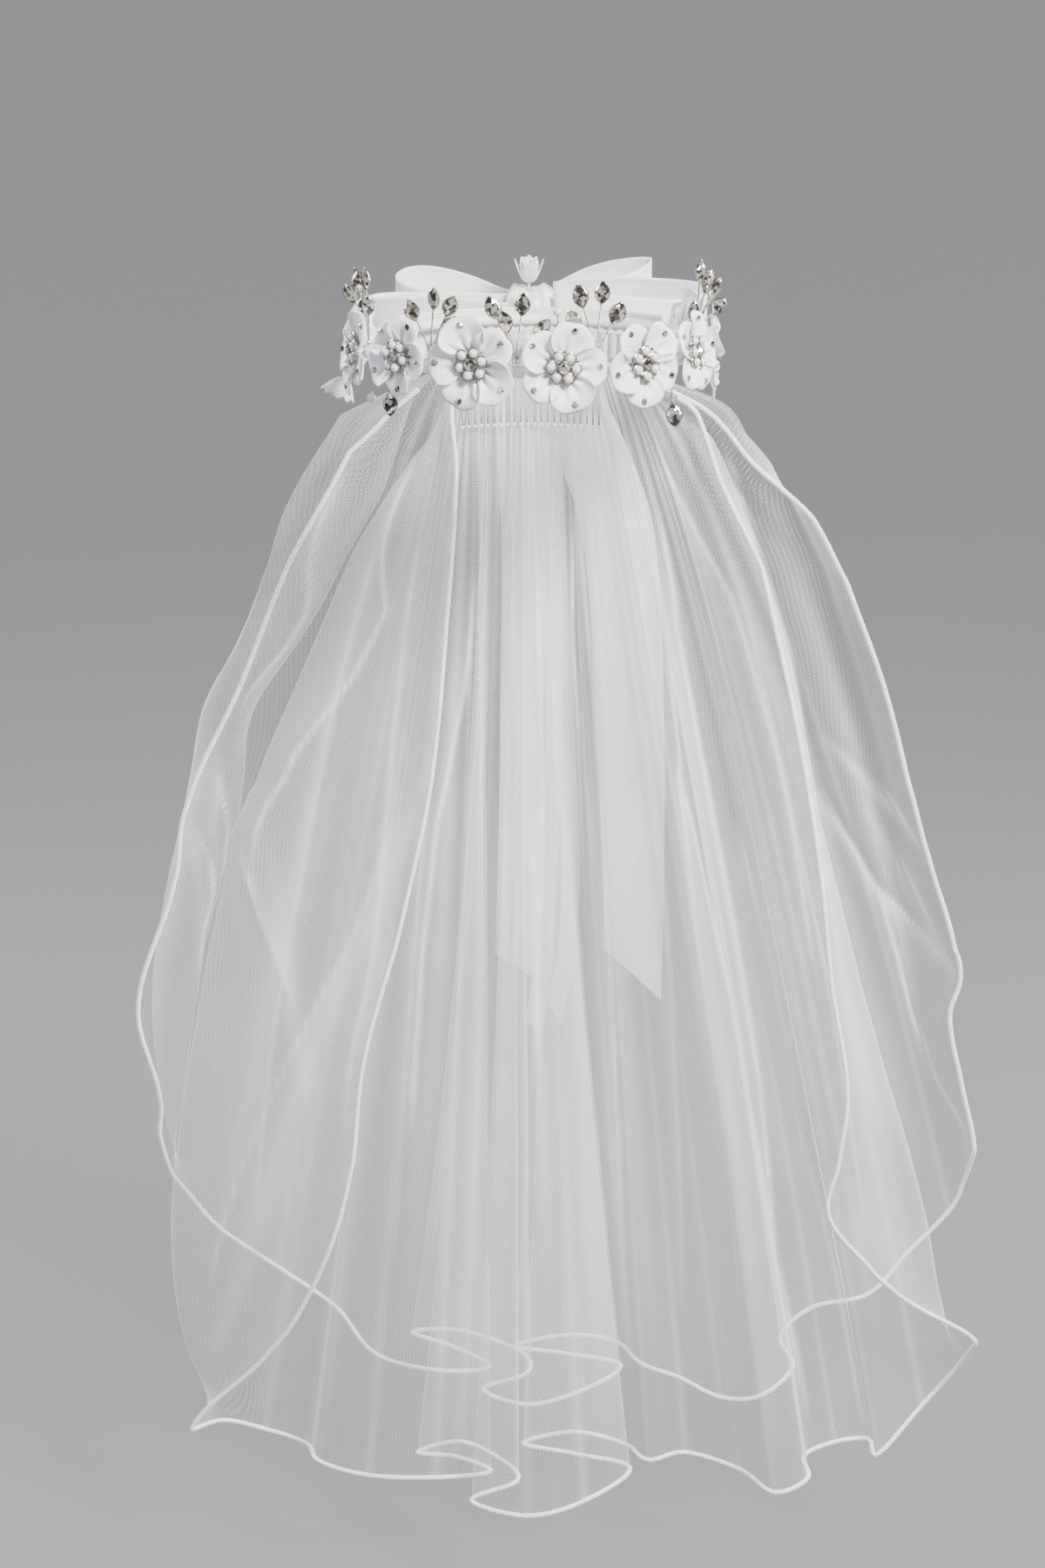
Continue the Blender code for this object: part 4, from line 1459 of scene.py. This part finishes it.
@dataclass
class CupFlower:
    """A small ruffled blossom of layered satin."""

    name: str
    base: tuple[float, float, float]
    axis: tuple[float, float, float]
    depth: float
    rim: float
    waves: int
    point: float
    notch: float
    swell: float
    flutter: float
    stamens: float
    stem: float = 0.0
    around: int = 120
    out: int = 14

    def build(self, palette: Palette) -> None:
        """Makes two frilled cups, one within the other, on a beaded stem.

        Args:
            palette: the veil's materials.
        """
        turn = Vector(self.axis).to_track_quat("Z", "Y").to_matrix()
        parts = []
        for layer, (share, twist, lift) in enumerate(((1.0, 0.0, 0.0), (0.72, 0.5, 0.0010))):
            a, t = np.meshgrid(np.arange(self.around + 1) / self.around, np.linspace(1, 0, self.out + 1),
                               indexing="ij")
            angle = a * 2 * math.pi
            lobe = 1 - np.abs(np.sin(angle * self.waves / 2 + twist * math.pi)) ** self.point
            wave = 1 + t * (0.14 * lobe - 0.06 + self.flutter * np.cos(angle * self.waves * 4) * t ** 4)
            radius = 0.0012 + (self.rim * MM * share - 0.0012) * t ** self.swell * wave
            height = self.depth * MM * t * (1 - self.notch + self.notch * lobe) * (1.0 - 0.06 * layer) + lift
            local = np.stack([np.cos(angle) * radius, np.sin(angle) * radius, height], axis=2)
            local[:, :, 2] += self.stem * MM
            places = local @ np.array(turn).T + np.array(self.base) * MM
            # The petal satin paints shade towards the middle of each cup.
            parts.append(draped("frill", places, np.stack([a * 5, t], axis=2), palette.petal,
                                round_about=True))
        bloom = joined(self.name + "_frills", parts)
        wall = bloom.modifiers.new("Wall", "SOLIDIFY")
        wall.thickness = 0.0004
        wall.offset = 0.0
        ride(bloom, "petal_satin", self.name)
        bm = bmesh.new()
        carry = Matrix.Translation(Vector(self.base) * MM) @ turn.to_4x4()
        reach = self.stem * MM + 0.006
        made = bmesh.ops.create_cone(bm, cap_ends=True, segments=10, radius1=0.0006, radius2=0.0010,
                                     depth=reach,
                                     matrix=carry @ Matrix.Translation((0, 0, reach / 2 - 0.005)))
        dress(faces_of(made["verts"]), 1)
        carry = carry @ Matrix.Translation((0, 0, self.stem * MM))
        for bead in range(5):
            angle = bead * 2 * math.pi / 5
            reach = self.depth * MM * self.stamens * (1 - 0.12 * (bead % 2))
            place = Matrix.Translation((math.cos(angle) * 0.0028, math.sin(angle) * 0.0028, reach))
            add_ball(bm, carry @ place, 0.0009, 0, 10)
            stem = Matrix.Translation((math.cos(angle) * 0.0022, math.sin(angle) * 0.0022, reach / 2))
            made = bmesh.ops.create_cone(bm, cap_ends=True, segments=8, radius1=0.0002, radius2=0.0002,
                                         depth=reach, matrix=carry @ stem)
            dress(faces_of(made["verts"]), 1)
        ride(finished(self.name + "_seed_pearls", bm, [palette.pearl, palette.petal]), "pearl")


@dataclass
class Streamer:
    """A satin ribbon that hangs from under the bow."""

    name: str
    width: float
    rows: list[StreamerRow]
    point: float
    steps: int = 120
    across: int = 12

    def build(self, palette: Palette) -> None:
        """Makes the ribbon with its slow ripple and slant-cut end.

        Args:
            palette: the veil's materials.
        """
        table = np.array(self.rows)
        s, c = np.meshgrid(np.linspace(0, 1, self.steps + 1), np.linspace(-1, 1, self.across + 1),
                           indexing="ij")
        levels = catmull(table, np.linspace(0, 1, self.steps + 1) * (len(table) - 1))
        z, x, y, turn = (levels[:, column][:, None] for column in range(4))
        half = self.width * MM / 2
        angle = np.radians(turn)
        slant = (c * 0.5) * self.point * np.clip((s - 0.75) / 0.25, 0, 1)
        ripple = 0.0011 * np.sin(s * 21 + c * 0.9) + 0.0007 * np.cos(s * 37 - c)
        bow = 0.0012 * (1 - c * c)
        places = np.stack([x * MM + c * half * np.cos(angle),
                           y * MM + c * half * np.sin(angle) * 0.5 + ripple + bow, z * MM - slant], axis=2)
        cloth = places.transpose(1, 0, 2)
        # This value across the ribbon places the satin's painted edge highlight and painted shadow line.
        ribbon = draped(self.name + "_ribbon", cloth, cloth_map(cloth), palette.ribbon,
                        {"selvedge_and_painted_edge_light": np.abs(c.T)}, 0.0005)
        ride(ribbon, "ribbon_satin", self.name)
        self.width * MM


@dataclass
class Comb:
    """The clear comb: a bent spine with a rounded back and slim tapered teeth."""

    teeth: int = 22
    pitch: float = 0.0037
    radius: float = 0.0757
    spine_top: float = -0.0090
    spine_bottom: float = -0.0150
    wall: float = 0.0026
    tip: float = -0.056

    def build(self, palette: Palette) -> None:
        """Makes the spine as a bent bar and the teeth as tapered rods.

        Args:
            palette: the veil's materials.
        """
        bm = bmesh.new()
        made = bmesh.ops.create_cube(bm, size=1.0)
        bmesh.ops.scale(bm, vec=(self.teeth * self.pitch, self.wall, self.spine_top - self.spine_bottom),
                        verts=made["verts"])
        long_edges = [edge for edge in bm.edges if abs((edge.verts[0].co - edge.verts[1].co).x) > self.wall]
        bmesh.ops.subdivide_edges(bm, edges=long_edges, cuts=47, use_grid_fill=True)
        rims = [edge for edge in bm.edges if edge.is_manifold and edge.calc_face_angle() > 1.0]
        bmesh.ops.bevel(bm, geom=rims, offset=0.0008, affect="EDGES", segments=3, profile=0.5, material=-1)
        middle = (self.spine_top + self.spine_bottom) / 2
        for vertex in bm.verts:
            angle = vertex.co.x / self.radius
            reach = self.radius + vertex.co.y
            vertex.co = Vector((math.sin(angle) * reach, math.cos(angle) * reach, vertex.co.z + middle))
        for tooth in range(self.teeth):
            angle = (tooth - (self.teeth - 1) / 2) * self.pitch / self.radius
            top = self.spine_bottom + 0.0010
            x, y = math.sin(angle) * self.radius, math.cos(angle) * self.radius
            place = Matrix.Translation((x, y, (top + self.tip) / 2))
            bmesh.ops.create_cone(bm, cap_ends=True, segments=10, radius1=0.00045, radius2=0.00092,
                                  depth=top - self.tip, matrix=place)
            end = Matrix.Translation((x, y, self.tip))
            ball = bmesh.ops.create_uvsphere(bm, u_segments=10, v_segments=6, radius=0.0010, matrix=end)
            dress(faces_of(ball["verts"]), 1)
        ride(finished("comb_clear", bm, [palette.plastic, palette.tip]), "comb_plastic", "comb")


@dataclass
class Studio:
    """The pale round cove, the soft lights and the camera."""

    floor_level: float = -0.74
    flat: float = 3.0
    bend: float = 6.0
    around: int = 96

    def build(self, palette: Palette) -> None:
        """Makes the cove, lights and camera.

        Args:
            palette: the veil's materials.
        """
        turn = np.linspace(0, math.radians(62), 33)
        radius = np.concatenate([[0.0, 0.7, 1.5, 2.3], self.flat + self.bend * np.sin(turn)])
        height = np.concatenate([np.zeros(4), self.bend * (1 - np.cos(turn))]) + self.floor_level
        angle = np.linspace(0, 2 * math.pi, self.around + 1)
        places = np.stack([np.cos(angle)[:, None] * radius, np.sin(angle)[:, None] * radius,
                           np.broadcast_to(height, (self.around + 1, len(height)))], axis=2)
        cove = draped("studio_cove", places, places[:, :, :2], palette.paper, round_about=True)
        self.light("key_softbox", (1.1, -1.5, 1.35), (0.0, 0.0, -0.2), 0.8, 180.0, (1.0, 0.985, 0.96))
        self.light("fill_softbox", (-1.6, -1.2, 0.4), (0.0, 0.0, -0.25), 1.3, 16.0, (0.80, 0.84, 1.0))
        self.light("left_rim_softbox", (-1.3, 1.0, 0.5), (0.0, 0.0, -0.25), 0.8, 48.0, (0.94, 0.96, 1.0))
        self.light("right_rim_softbox", (1.3, 1.0, 0.4), (0.0, 0.0, -0.25), 0.8, 45.0, (1.0, 1.0, 1.0))
        world = bpy.data.worlds.new("studio_air")
        world.use_nodes = True
        world.node_tree.nodes["Background"].inputs[0].default_value = (0.80, 0.83, 0.88, 1.0)
        world.node_tree.nodes["Background"].inputs[1].default_value = 0.14
        bpy.context.scene.world = world
        data = bpy.data.cameras.new("photo_camera")
        data.lens = 86.9
        data.sensor_width = 36.0
        data.clip_end = 50.0
        camera = bpy.data.objects.new("photo_camera", data)
        camera.location = (-0.0046, -1.975, 0.313)
        camera.rotation_euler = (math.radians(90 - 15.63), 0.0, 0.0)
        bpy.context.scene.collection.objects.link(camera)
        bpy.context.scene.camera = camera

    def light(self, name: str, place: tuple[float, float, float], aim: tuple[float, float, float],
              size: float, power: float, colour: tuple[float, float, float]) -> None:
        """Adds one softbox.

        Args:
            name: its name.
            place: where it stands.
            aim: what it faces.
            size: its width.
            power: its strength in watts.
            colour: its tint.
        """
        data = bpy.data.lights.new(name, "AREA")
        data.shape = "DISK"
        data.size = size
        data.energy = power
        data.color = colour
        lamp = bpy.data.objects.new(name, data)
        lamp.visible_camera = False
        lamp.location = place
        lamp.rotation_euler = (Vector(aim) - Vector(place)).to_track_quat("-Z", "Y").to_euler()
        bpy.context.scene.collection.objects.link(lamp)


def rows(kind: type, *values: tuple) -> list:
    """One entry of a kind for each row of values."""
    return [kind(*row) for row in values]


LONG_TIER = Tier(
    "long_tier",
    [rows(Station, (-20.2, -43, 70), (-50, -44, 67), (-82, -42, 65), (-157, -47, 51), (-248, -56, 35),
          (-332, -74, 25), (-405, -94, 20), (-465, -101, 18), (-507, -111, 20), (-549, -127, 28),
          (-590, -151, 40), (-648, -198, 58)),
     rows(Station, (-20.2, -41.5, 71), (-50, -49.5, 71.5), (-73, -64, 73), (-130, -99, 72), (-190, -126, 69),
          (-258, -154, 68), (-283, -167, 66), (-372, -186, 64), (-481, -204, 63), (-547, -208, 65),
          (-604, -201, 72), (-653, -182, 82))],
    rows(Fold, (-39, -157, 85, -660, 0.90, 0, 4), (-37, -132, 70, -662, 0.90, 0, 2),
         (-35, -123, 50, -664, 0.92, 0, -2), (-33, -94, 36, -666, 0.95, 0, -2),
         (-31, -55, 33, -666, 1.55, 0, 0), (-28, -23, 37, -664, 1.55, 0, 0),
         (-26, -43, 50, -661, 1.55, 0, 0), (-23, -66, 60, -663, 1.55, 0, 0),
         (-19, -40, 70, -661, 1.55, 0, 0), (-14, -14, 52, -666, 1.55, 2, 0),
         (-12, -8, 32, -668, 1.55, 2, -3), (-9, -34, 20, -674, 1.55, 0, -5), (-4, -2, 8, -678, 1.55, 0, -5),
         (1, 31, 17, -673, 1.55, 0, -4), (4.5, 58, 41, -664, 1.55, 3, 0), (8.5, 26, 56, -662, 1.55, 0, 0),
         (12, -4, 68, -661, 1.55, 0, 0), (16, 26, 79, -659, 1.55, 0, 0), (20, 55, 72, -663, 1.55, 0, 0),
         (23, 69, 54, -665, 0.95, 0, 0), (26, 91, 60, -663, 0.90, 0, 2), (29, 122, 44, -666, 0.90, 0, -2),
         (32, 141, 22, -670, 0.85, 0, -6), (35, 161, 34, -667, 0.85, 2, -2),
         (37.5, 161, 60, -665, 0.80, 0, 2), (40, 180, 74, -663, 0.78, 0, 4), (42, 200, 80, -664, 0.75, 0, 4),
         (43.5, 205, 68, -668, 0.70, 0, 3), (45, 232, 86, -645, 0.65, 0, 3)),
    [rows(Station, (-20.2, 46.5, 68), (-63, 98, 73), (-130, 125, 71), (-198, 146, 68), (-280, 163, 66),
          (-345, 180, 64), (-402, 196, 64), (-485, 220, 66), (-560, 237, 73), (-620, 249, 79)),
     rows(Station, (-20.2, 48, 67), (-46, 88, 66), (-87, 105, 58), (-130, 126, 49), (-211, 145, 38),
          (-296, 160, 30), (-363, 168, 25), (-426, 178, 22), (-469, 174, 22), (-502, 170, 25),
          (-544, 200, 35), (-563, 220, 45), (-594, 259, 60))],
    rows(Crease, (0.04, 0.48, 0.33, 0.82, 4.0, 0.07), (0.72, -0.47, 0.42, 0.68, 3.5, 0.06),
         (0.30, 0.25, 0.62, 0.97, -3.0, 0.08), (2.4, 0.5, 0.10, 0.85, 3.0, 0.35),
         (4.2, -0.3, 0.25, 0.98, -3.0, 0.30), (5.5, 0.2, 0.05, 0.70, 2.6, 0.28),
         (6.5, 0.0, 0.30, 0.99, -3.2, 0.32), (8.6, 0.3, 0.08, 0.62, 2.2, 0.25),
         (10.4, -0.2, 0.35, 0.97, 2.8, 0.30), (12.5, 0.1, 0.10, 0.90, -2.6, 0.30),
         (14.3, 0.3, 0.15, 0.80, 2.8, 0.30), (15.6, -0.2, 0.40, 0.98, -2.8, 0.30),
         (18.5, 0.2, 0.06, 0.65, 2.2, 0.26), (20.4, 0.0, 0.30, 0.95, -3.0, 0.32),
         (22.5, 0.4, 0.12, 0.88, 3.4, 0.34), (24.4, -0.3, 0.25, 0.97, -3.2, 0.34),
         (26.6, 0.2, 0.10, 0.75, 3.0, 0.30), (28.5, 0.3, 0.20, 0.92, -3.2, 0.34),
         (30.2, -0.2, 0.12, 0.85, 3.2, 0.34), (31.5, 0.0, 0.30, 0.95, -3.4, 0.30)),
    rows(Ridge, (((0.93, 0.07), (0.47, 0.216), (0.55, 0.272), (0.72, 0.345), (0.77, 0.40),
          (0.76, 0.45)), 3.0, 0.42, -1, 20),
         (((0.91, 0.427), (0.75, 0.463), (0.64, 0.499), (0.45, 0.56)), 3.0, 0.40, 1, 5),
         (((0.16, 0.38), (0.27, 0.521), (0.36, 0.595), (0.45, 0.65), (0.55, 0.73),
          (0.62, 0.84)), 2.0, 0.26, -1, 5),
         (((0.36, 0.14), (0.28, 0.331), (0.19, 0.442), (0.10, 0.56), (0.08, 0.66)), 2.5, 0.34, -1, 13),
         (((6.4, 0.17), (5.9, 0.272), (5.6, 0.331), (5.3, 0.4), (5.2, 0.513),
          (5.25, 0.66)), 2.0, 0.38, -1, 8),
         (((10.8, 0.08), (11.5, 0.234), (11.6, 0.311), (11.4, 0.406), (10.7, 0.565),
          (10.6, 0.80)), 1.5, 0.36, -1, 10),
         (((14.9, 0.05), (15.3, 0.18), (15.1, 0.318), (14.5, 0.58)), 1.5, 0.36, -1, 12),
         (((20.3, 0.12), (19.8, 0.241), (20.2, 0.331), (20.4, 0.42)), 1.5, 0.30, -1, 4),
         (((20.5, 0.10), (20.8, 0.305), (20.8, 0.449), (20.7, 0.64), (20.5, 0.90)), 1.5, 0.34, 1, 9),
         (((27.3, 0.12), (26.8, 0.234), (26.7, 0.331), (26.7, 0.513), (26.6, 0.65),
          (26.1, 0.86)), 2.0, 0.38, -1, 10),
         (((25.7, 0.20), (24.4, 0.358), (24.1, 0.47), (24.0, 0.595), (23.6, 0.82)), 1.5, 0.30, 1, 7),
         (((28.9, 0.06), (29.4, 0.139), (29.9, 0.21), (29.9, 0.386), (29.6, 0.54)), 1.5, 0.34, -1, 8),
         (((27.5, 0.40), (27.7, 0.543), (27.6, 0.71), (27.9, 0.84), (27.9, 0.97)), 1.5, 0.32, -1, 5),
         (((24.4, 0.33), (25.0, 0.513), (26.1, 0.702), (26.4, 0.95)), 1.5, 0.34, -1, 5)),
    0.0832, 0.95, 0.62)

SHORT_TIER = Tier(
    "short_tier",
    [rows(Station, (-20.9, -47.5, 71), (-36, -61, 74), (-48, -75, 76), (-72, -99, 77), (-134, -133, 79),
          (-205, -162, 82), (-277, -194, 86), (-324, -203, 90), (-400, -226, 96), (-459, -216, 102),
          (-482, -217, 104)),
     rows(Station, (-20.9, -46, 73), (-40, -65, 79), (-95, -82, 88), (-135, -104, 93), (-176, -126, 95),
          (-223, -157, 98), (-267, -164, 102), (-295, -170, 104), (-374, -189, 108), (-456, -203, 112),
          (-508, -212, 114)),
     rows(Station, (-20.9, -44.5, 74), (-39, -76, 87), (-54, -105, 95), (-103, -134, 104), (-143, -148, 108),
          (-182, -162, 112), (-226, -183, 116), (-272, -193, 118), (-347, -210, 120), (-409, -219, 122),
          (-477, -215, 124), (-526, -203, 124))],
    rows(Fold, (-42, -185, 129, -550, 0.75, 0, 6), (-39, -151, 133, -577, 0.80, 0, 6),
         (-36, -117, 136, -604, 0.85, 0, 4), (-33, -93, 120, -627, 0.95, 0, 2),
         (-30, -56, 109, -633, 1.6, 0, 0), (-26, -24, 112, -632, 1.6, 0, 0),
         (-23.5, -46, 125, -625, 1.6, 0, 0), (-21, -71, 133, -619, 1.65, 0, 2),
         (-17, -41, 142, -622, 1.55, 0, 4), (-13, -5, 126, -629, 1.55, 2, 2),
         (-11, -2, 109, -635, 1.55, 1, 2), (-8, -28, 98, -640, 1.55, 0, 2), (-4, -1, 89, -646, 1.55, 0, 3),
         (1, 32, 97, -640, 1.55, 0, 3), (6, 54, 112, -631, 1.55, 3, 0), (9.5, 22, 124, -629, 1.55, 0, 2),
         (13, -9, 133, -628, 1.55, 0, 4), (17, 22, 142, -625, 1.55, 0, 6), (21, 51, 136, -626, 1.55, 0, 6),
         (24, 67, 116, -632, 1.55, 0, 2), (27, 89, 103, -635, 0.95, 0, 0), (30, 113, 93, -643, 0.90, 0, 0),
         (33, 137, 93, -642, 0.85, 0, 0), (36, 157, 110, -631, 0.85, 2, 2), (38, 151, 133, -622, 0.80, 0, 6),
         (40, 170, 142, -607, 0.75, 0, 8), (42, 204, 142, -598, 0.70, 0, 8),
         (43.5, 226, 138, -570, 0.65, 0, 6), (45.5, 250, 132, -540, 0.62, 0, 4)),
    [rows(Station, (-20.9, 47.2, 73), (-45, 103, 87), (-66, 119, 94), (-82, 132, 100), (-100, 141, 105),
          (-143, 160, 110), (-221, 185, 116), (-289, 205, 118), (-363, 222, 120), (-454, 236, 122),
          (-518, 257, 124)),
     rows(Station, (-20.9, 49, 71), (-49, 97, 79), (-79, 123, 82), (-109, 155, 84), (-148, 176, 88),
          (-207, 198, 92), (-265, 214, 96), (-310, 227, 98), (-367, 244, 100), (-386, 248, 102),
          (-409, 243, 104), (-454, 252, 106), (-494, 261, 110))],
    rows(Crease, (31.0, 1.9, 0.42, 0.62, 4.0, 0.14), (31.4, 1.5, 0.50, 0.78, 3.6, 0.14),
         (0.3, 0.5, 0.48, 0.66, 3.0, 0.12), (0.2, 0.6, 0.58, 0.74, -3.0, 0.12),
         (1.6, 0.4, 0.15, 0.90, 3.4, 0.34), (3.3, -0.3, 0.22, 0.97, -3.0, 0.32),
         (4.7, 0.3, 0.10, 0.78, 3.2, 0.32), (6.4, 0.0, 0.30, 0.98, -3.0, 0.30),
         (8.3, 0.3, 0.06, 0.66, 2.4, 0.26), (10.5, -0.2, 0.30, 0.95, -2.8, 0.30),
         (12.4, 0.2, 0.12, 0.85, 2.6, 0.28), (14.5, 0.0, 0.35, 0.98, -2.8, 0.30),
         (16.4, 0.3, 0.10, 0.74, 2.6, 0.28), (18.6, -0.2, 0.26, 0.96, -2.6, 0.30),
         (20.5, 0.2, 0.08, 0.70, 2.6, 0.28), (22.4, 0.0, 0.30, 0.97, 3.0, 0.32),
         (24.6, 0.3, 0.14, 0.88, -3.2, 0.34), (26.3, -0.3, 0.22, 0.95, 3.2, 0.34),
         (28.4, 0.2, 0.10, 0.80, -3.0, 0.32), (30.3, 0.2, 0.20, 0.94, 3.4, 0.34),
         (31.6, -0.2, 0.14, 0.86, -3.4, 0.32)),
    rows(Ridge, (((30.4, 0.46), (31.2, 0.61), (32.3, 0.70), (32.8, 0.757)), 3.0, 0.50, -1, 6),
         (((31.25, 0.60), (31.4, 0.772), (32.5, 0.955)), 3.0, 0.48, 1, 5),
         (((31.4, 0.09), (30.9, 0.331), (30.6, 0.413), (30.4, 0.48)), 2.0, 0.38, -1, 11),
         (((0.27, 0.49), (0.62, 0.543), (0.88, 0.572), (0.92, 0.61)), 3.0, 0.40, 1, 4),
         (((0.12, 0.56), (0.55, 0.61), (0.88, 0.648), (0.90, 0.73)), 3.0, 0.36, -1, 5),
         (((0.10, 0.13), (0.14, 0.186), (0.36, 0.247), (0.70, 0.305), (0.72, 0.352),
          (0.40, 0.41)), 3.0, 0.36, 1, 7),
         (((6.0, 0.12), (6.1, 0.318), (6.0, 0.492), (6.1, 0.671), (6.2, 0.87)), 2.0, 0.28, -1, 8),
         (((19.5, 0.16), (20.2, 0.42), (20.5, 0.686), (20.5, 0.95)), 1.5, 0.24, 1, 8),
         (((25.4, 0.16), (24.4, 0.386), (23.8, 0.648), (23.3, 0.90)), 1.5, 0.28, -1, 8),
         (((3.0, 0.19), (3.0, 0.372), (3.1, 0.55), (3.2, 0.772), (3.5, 0.95)), 2.0, 0.30, -1, 9),
         (((30.0, 0.25), (29.6, 0.449), (29.5, 0.686), (29.2, 0.92)), 2.0, 0.30, 1, 7),
         (((10.2, 0.10), (10.6, 0.34), (10.3, 0.62), (10.4, 0.90)), 1.5, 0.24, -1, 8),
         (((14.3, 0.08), (14.7, 0.30), (14.4, 0.52)), 1.5, 0.24, 1, 8)),
    0.0867, 0.65, 0.66)

FLOWERS = rows(
    SatinFlower,
    (0, -109, -2, 0.92, 20, 4), (1, -75, 1, 0.98, 8, 6), (2, -46, 4, 0.84, 30, 6),
    (3, -18.5, 4, 0.98, 0, 4), (4, 9.5, 3, 0.94, 36, 2), (5, 37, 2, 0.92, 12, 4),
    (6, 62.5, 3, 0.88, 40, 6), (7, 90, -6, 0.94, 16, 0), (8, 117, 1, 0.90, 50, 4))

SPRAYS = [
    WireSpray("crystal_spray_1", -73, 1,
              rows(Leaf, (-91, -4, 39, 13), (-86, -27, 44, 12), (-88, -12, 27, 12), (-84, -33, 31, 12))),
    WireSpray("crystal_spray_2", -35.5, 1,
              rows(Leaf, (-63, -64, 33, 12), (-49, -76, 41, 12), (-39, -79, 37, 12), (-38, -80, 27, 12))),
    WireSpray("crystal_spray_3", -5, 1,
              rows(Leaf, (-22, -87, 38, 13), (-15, -88.5, 31, 12), (-4, -89, 40, 12), (9, -89, 27, 13))),
    WireSpray("crystal_spray_4", 21.5, 1,
              rows(Leaf, (23, -85, 44, 13), (36, -82, 45, 12), (18, -88, 31, 13), (46, -78, 34, 13))),
    WireSpray("crystal_spray_5", 69, 1,
              rows(Leaf, (93, -12, 40, 13), (99, -8, 36, 12), (101, -6, 25, 12), (84, -32, 28, 12))),
    WireSpray("crystal_spray_6", 99, 1, rows(Leaf, (95, 16, 37, 12), (99, 21, 30, 12), (90, 25, 41, 12))),
    WireSpray("crystal_spray_7", -101, 1,
              rows(Leaf, (-93, 16, 38, 12), (-98, 14, 30, 12), (-90, 25, 34, 12))),
    WireSpray("hanging_leaf_left", -57, -1, rows(Leaf, (-72, -58, -28, 13))),
    WireSpray("hanging_leaf_right", 53, -1, rows(Leaf, (74, -56, -34, 13))),
    WireSpray("pearl_wire_left", -67, -1, rows(Leaf, (-83, -36, -25, 5)), StoneCut.PEARL),
    WireSpray("pearl_wire_middle", 9, 1, rows(Leaf, (13, -88, 33, 5)), StoneCut.PEARL),
]

LOOPS = [
    BowLoop("bow_loop_upper_left", -1, 60, 114.6, 129, 26, 0.25, -8, -6, 7, 5),
    BowLoop("bow_loop_upper_right", 1, 52, 114.6, 129, 20, 0.25, -4, -3, 12.3, 3),
    BowLoop("bow_loop_lower_left", -1, 74, 94.6, 110.5, 9, 0.35, -8, -6, -1, 0),
    BowLoop("bow_loop_lower_right", 1, 82, 94.6, 110.5, 10, 0.35, -3, 0, -3, 4),
]

STREAMERS = [
    Streamer("streamer_wide_right", 42,
             rows(StreamerRow, (-16.7, 4, 121, 0), (-80, 34, 127, 8), (-138, 51, 130, 12),
                  (-255, 58, 133, 22), (-330, 60, 134, 32), (-394, 60, 134, 36)), 0.036),
    Streamer("streamer_wide_left", 34,
             rows(StreamerRow, (-16.7, -6, 123, 0), (-120, 0, 129, 10), (-235, -2, 136, 25),
                  (-320, -4, 138, 30), (-392, -6, 138, 30)), 0.022),
    Streamer("streamer_narrow_left", 14,
             rows(StreamerRow, (-16.7, 3, 125.5, 0), (-180, 15, 141, 55), (-262, 14, 146, 52),
                  (-330, 11, 147, 45), (-396, 7, 147, 40), (-432, 2, 147, 48)), 0.014),
    Streamer("streamer_narrow_right", 14,
             rows(StreamerRow, (-16.7, 6, 128, 0), (-180, 18, 149, 50), (-262, 21, 153, 44),
                  (-330, 24, 154, 40), (-387, 21, 154, 44), (-425, 14, 154, 52)), 0.016),
]

SMALL_BLOSSOMS = [
    CupFlower("knot_bud", (-1, 105, 18.1), (0, -0.15, 1), 13.0, 7.4, 4, 1.5, 0.42, 0.5, 0.0, 0.98),
    CupFlower("frilled_flower", (-91.3, 3, -3.3), (-0.42, 0, -0.907), 10, 8.8, 9, 1.8, 0.16, 0.6, 0.05,
              0.8, 16.5),
]


def main() -> None:
    """Builds the veil from the comb outwards."""
    logging.basicConfig(level=logging.INFO, format="%(name)s %(message)s")
    palette = Palette()
    Studio().build(palette)
    for tier in (LONG_TIER, SHORT_TIER):
        tier.build(palette)
    WreathRing().build(palette)
    Band("back_band_satin", "back_band", 0.0919, 0.0012, 50, -0.019, 0.006, 7, 0.0005).build(
        palette, palette.ribbon)
    Band("gather_band_satin", "gather_band", 0.0800, 0.0048, 38, -0.0187, -0.0038, 60, 0.0007).build(
        palette, palette.lining)
    Comb().build(palette)
    for flower in FLOWERS:
        flower.build(palette)
    for spray in SPRAYS:
        spray.build(palette)
    for loop in LOOPS:
        loop.build(palette)
    Knot().build(palette)
    for blossom in SMALL_BLOSSOMS:
        blossom.build(palette)
    for streamer in STREAMERS:
        streamer.build(palette)
    bpy.context.scene.cycles.transparent_max_bounces = 32


if __name__ == "__main__":
    main()
